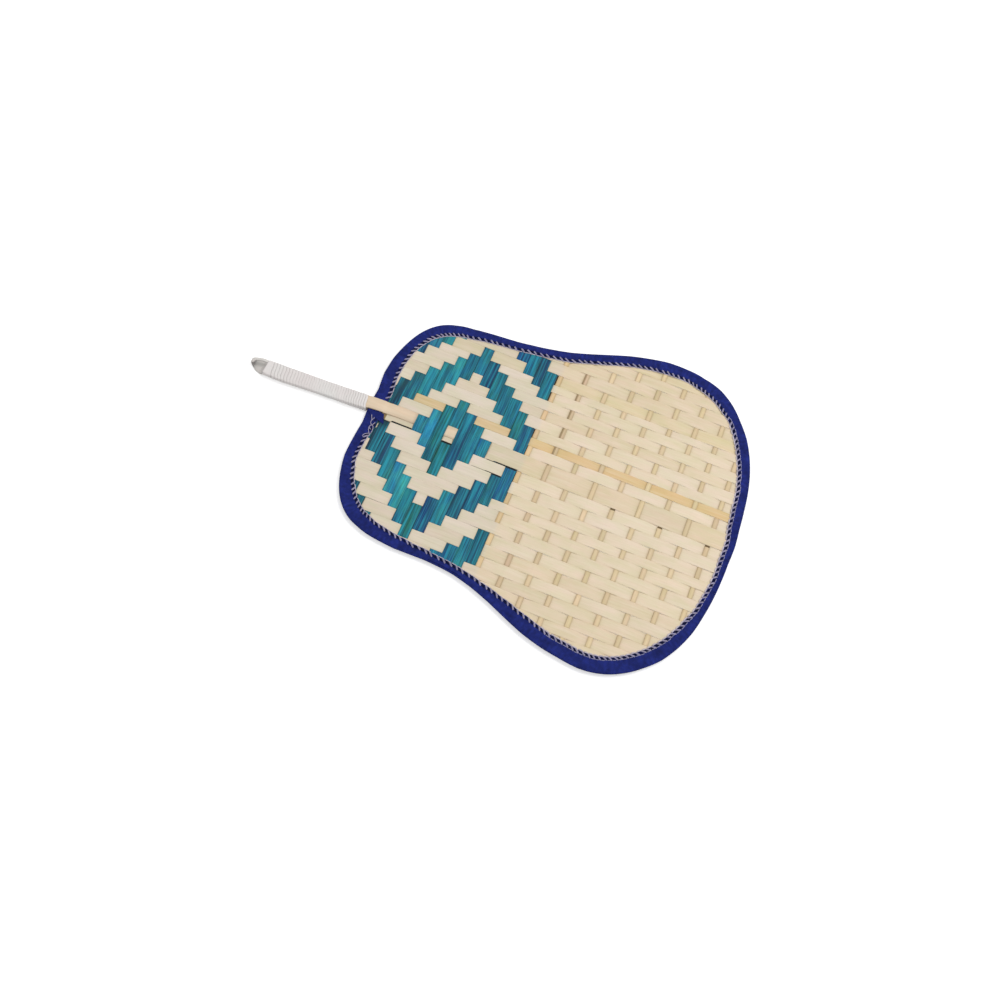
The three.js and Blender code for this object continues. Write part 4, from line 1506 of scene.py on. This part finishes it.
class FAN_OT_grip_tape(bpy.types.Operator):
    """Wind the tape round both legs of the handle"""

    bl_idname = "fan.grip_tape"
    bl_label = "Grip tape"

    def execute(self, context):
        settings = context.scene.fan_handle
        width = settings.handle_width / MM
        edges = tape_edges()
        turns = len(edges) - 2
        rng = random.Random(3)
        lifts = [rng.uniform(-0.05, 0.09) for _ in range(turns + 2)]
        points, colours = [], []
        rings = turns * STEPS_AROUND + 1
        for i in range(rings):
            turn, part = divmod(i, STEPS_AROUND)
            share = part / STEPS_AROUND
            first, second, third = (edges[min(turn + k, turns + 1)] for k in range(3))
            left = lerp(first, second, share if turn else ease(2 * share - 1))
            right = lerp(second, third, share)
            angle = 2 * math.pi * share
            c, z_turn = math.cos(angle), math.sin(angle)
            uy = math.copysign(abs(c) ** GRIP_ROUNDNESS, c)
            uz = math.copysign(abs(z_turn) ** GRIP_ROUNDNESS, z_turn)
            lift = lerp(lifts[turn], lifts[turn + 1], share)
            for along, out in TURN_SECTION:
                x = lerp(left, right, along + 0.5)
                x -= lerp(FIRST_SLANT, TAPE_SLANT, ease((x - TAPE_START) / 8)) * c / 2
                depth = leg_inside(x) + STRIP_THICKNESS
                clear = ridge(x)
                grow = (out if out < 0 else lerp(1.5, out, clear)) * TAPE_HALF + lift * clear
                y = uy * (width / 2 + TAPE_CLEAR_Y + grow)
                z = uz * (depth + TAPE_CLEAR_Z + grow)
                y -= lerp(high_trim(x), low_extra(x), (1 - uy) / 2)
                points.append(handle_place(x, y, z))
                # Painted shade in the grooves between turns, and a slight painted highlight along
                # their middles.
                shade = 1 - 0.24 * clear * (abs(along) > 0.45) + 0.02 * (abs(along) < 0.3)
                shade *= 1 + 0.03 * wander(turn * 1.7, share * 3, 0, 14)
                # Painted shade on the tape's right and left sides, where the wound grip turns away.
                shade *= 1 - 0.12 * ease((-c - 0.75) / 0.25) - 0.2 * ease((c - 0.8) / 0.2)
                colours.append((shade, shade, shade))
        material = plastic_tape("grip_tape", settings.tape_colour)
        faces = tube_faces(rings, len(TURN_SECTION))
        piece = add_piece("grip_tape_wound", points, faces, material, colours)
        merge_close(piece, 1e-7)
        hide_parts("grip_tape")
        return {"FINISHED"}


# ---------------------------------------------------------------- studio


# In metres and degrees. The camera leans off the vertical, is turned round it, and rolls.
FLOOR_HALF = 6.0
KEY_SPOT, KEY_SIZE = (0.62, 0.45, 1.42), 1.1
FILL_SPOT, FILL_SIZE = (-0.9, -0.9, 1.3), 1.2
CAMERA_LEAN, CAMERA_TURN, CAMERA_ROLL = 28.36, 7.91, 21.4
CAMERA_AIM = (0.02164, -0.03538, 0.0038)
CAMERA_DISTANCE = 1.01448
CAMERA_LENS = 48.31

# Light that the floor gives off where the camera sees it.
FLOOR_GLOW = 0.46


class FanStudioSettings(bpy.types.PropertyGroup):
    world_strength: FloatProperty(
        name="World strength", description="Light from all round", default=0.545, min=0.0,
    )
    key_power: FloatProperty(
        name="Key power", description="Power of the large lamp behind the fan", default=11.4,
        min=0.0, unit="POWER",
    )
    fill_power: FloatProperty(
        name="Fill power", description="Power of the lamp on the camera's side", default=2.3,
        min=0.0, unit="POWER",
    )
    floor_colour: FloatVectorProperty(
        name="Floor colour", description="Colour of the floor", default=(0.93, 0.93, 0.93),
        subtype="COLOR_GAMMA", size=3, min=0.0, max=1.0,
    )


class FAN_OT_studio(bpy.types.Operator):
    """Set the floor, the lamps and the camera"""

    bl_idname = "fan.studio"
    bl_label = "Studio"

    def execute(self, context):
        settings = context.scene.fan_studio
        self.floor(settings)
        self.world(context.scene, settings)
        self.lamp("key_lamp", KEY_SPOT, KEY_SIZE, settings.key_power)
        self.lamp("fill_lamp", FILL_SPOT, FILL_SIZE, settings.fill_power)
        self.camera(context.scene)
        context.scene.view_settings.view_transform = "Standard"
        return {"FINISHED"}

    def floor(self, settings):
        half = FLOOR_HALF
        corners = [(-half, -half, 0), (half, -half, 0), (half, half, 0), (-half, half, 0)]
        mesh = bpy.data.meshes.new("floor")
        mesh.from_pydata(corners, [], [(0, 1, 2, 3)])
        floor = bpy.data.objects.new("floor", mesh)
        bpy.context.scene.collection.objects.link(floor)
        nodes = Nodes("pale_floor")
        inputs = nodes.shader.inputs
        inputs["Base Color"].default_value = (*srgb(settings.floor_colour), 1.0)
        inputs["Roughness"].default_value = 0.9
        inputs["Specular IOR Level"].default_value = 0.0
        inputs["Emission Color"].default_value = (1, 1, 1, 1)
        nodes.link(self.shown(nodes.tree, 0.0, FLOOR_GLOW), inputs["Emission Strength"])
        mesh.materials.append(nodes.material)

    @staticmethod
    def shown(tree, unseen, seen):
        """A strength for rays that show the background, and another for the light on the object."""
        path = tree.nodes.new("ShaderNodeLightPath")
        total = path.outputs["Is Camera Ray"]
        for name in ("Is Glossy Ray", "Is Transmission Ray"):
            most = tree.nodes.new("ShaderNodeMath")
            most.operation = "MAXIMUM"
            tree.links.new(total, most.inputs[0])
            tree.links.new(path.outputs[name], most.inputs[1])
            total = most.outputs[0]
        pick = tree.nodes.new("ShaderNodeMapRange")
        pick.inputs["To Min"].default_value = unseen
        pick.inputs["To Max"].default_value = seen
        tree.links.new(total, pick.inputs["Value"])
        return pick.outputs["Result"]

    def world(self, scene, settings):
        world = bpy.data.worlds.new("studio")
        world.use_nodes = True
        background = world.node_tree.nodes["Background"]
        background.inputs["Color"].default_value = (1, 1, 1, 1)
        world.node_tree.links.new(
            self.shown(world.node_tree, settings.world_strength, 1.0), background.inputs["Strength"]
        )
        scene.world = world

    @staticmethod
    def lamp(name, spot, size, power):
        data = bpy.data.lights.new(name, "AREA")
        data.shape = "DISK"
        data.size = size
        data.energy = power
        lamp = bpy.data.objects.new(name, data)
        lamp.location = spot
        lamp.rotation_mode = "QUATERNION"
        lamp.rotation_quaternion = (-Vector(spot)).to_track_quat("-Z", "Y")
        bpy.context.scene.collection.objects.link(lamp)

    @staticmethod
    def camera(scene):
        """The photograph's view."""
        lean, turn, roll = map(math.radians, (CAMERA_LEAN, CAMERA_TURN, CAMERA_ROLL))
        away = Vector(
            (math.sin(lean) * math.sin(turn), -math.sin(lean) * math.cos(turn), math.cos(lean))
        )
        right = Vector((1, 0, 0))
        right = (right - away * right.dot(away)).normalized()
        up = away.cross(right)
        data = bpy.data.cameras.new("camera")
        data.sensor_width = 36.0
        data.lens = CAMERA_LENS
        data.clip_start, data.clip_end = 0.01, 50.0
        camera = bpy.data.objects.new("camera", data)
        image_right = right * math.cos(roll) + up * math.sin(roll)
        image_up = -right * math.sin(roll) + up * math.cos(roll)
        basis = Matrix((image_right, image_up, away)).transposed().to_4x4()
        spot = Vector(CAMERA_AIM) + away * CAMERA_DISTANCE
        camera.matrix_world = Matrix.Translation(spot) @ basis
        scene.collection.objects.link(camera)
        scene.camera = camera


class FAN_PT_panel(bpy.types.Panel):
    """Builds the fan piece by piece"""

    bl_idname = "FAN_PT_panel"
    bl_label = "Woven hand fan"
    bl_space_type = "VIEW_3D"
    bl_region_type = "UI"
    bl_category = "Fan"

    def draw(self, context):
        layout = self.layout
        for group in ("fan_weave", "fan_binding", "fan_handle", "fan_studio"):
            settings = getattr(context.scene, group)
            box = layout.box()
            for name in settings.bl_rna.properties.keys():
                if name not in {"rna_type", "name"}:
                    box.prop(settings, name)
        for operator in OPERATORS:
            layout.operator(operator.bl_idname)


SETTINGS = {
    "fan_weave": FanWeaveSettings,
    "fan_binding": FanBindingSettings,
    "fan_handle": FanHandleSettings,
    "fan_studio": FanStudioSettings,
}
OPERATORS = (
    FAN_OT_studio, FAN_OT_long_splints, FAN_OT_cross_splints, FAN_OT_edge_binding,
    FAN_OT_whip_stitches, FAN_OT_handle_strip, FAN_OT_grip_tape,
)


def register():
    for cls in (*SETTINGS.values(), *OPERATORS, FAN_PT_panel):
        bpy.utils.register_class(cls)
    for name, cls in SETTINGS.items():
        setattr(bpy.types.Scene, name, PointerProperty(type=cls))


def unregister():
    for name in SETTINGS:
        delattr(bpy.types.Scene, name)
    for cls in (FAN_PT_panel, *reversed(OPERATORS), *reversed(SETTINGS.values())):
        bpy.utils.unregister_class(cls)


def main():
    register()
    bpy.ops.fan.studio()
    bpy.ops.fan.long_splints()
    bpy.ops.fan.cross_splints()
    bpy.ops.fan.edge_binding()
    bpy.ops.fan.whip_stitches()
    bpy.ops.fan.handle_strip()
    bpy.ops.fan.grip_tape()


if __name__ == "__main__":
    main()
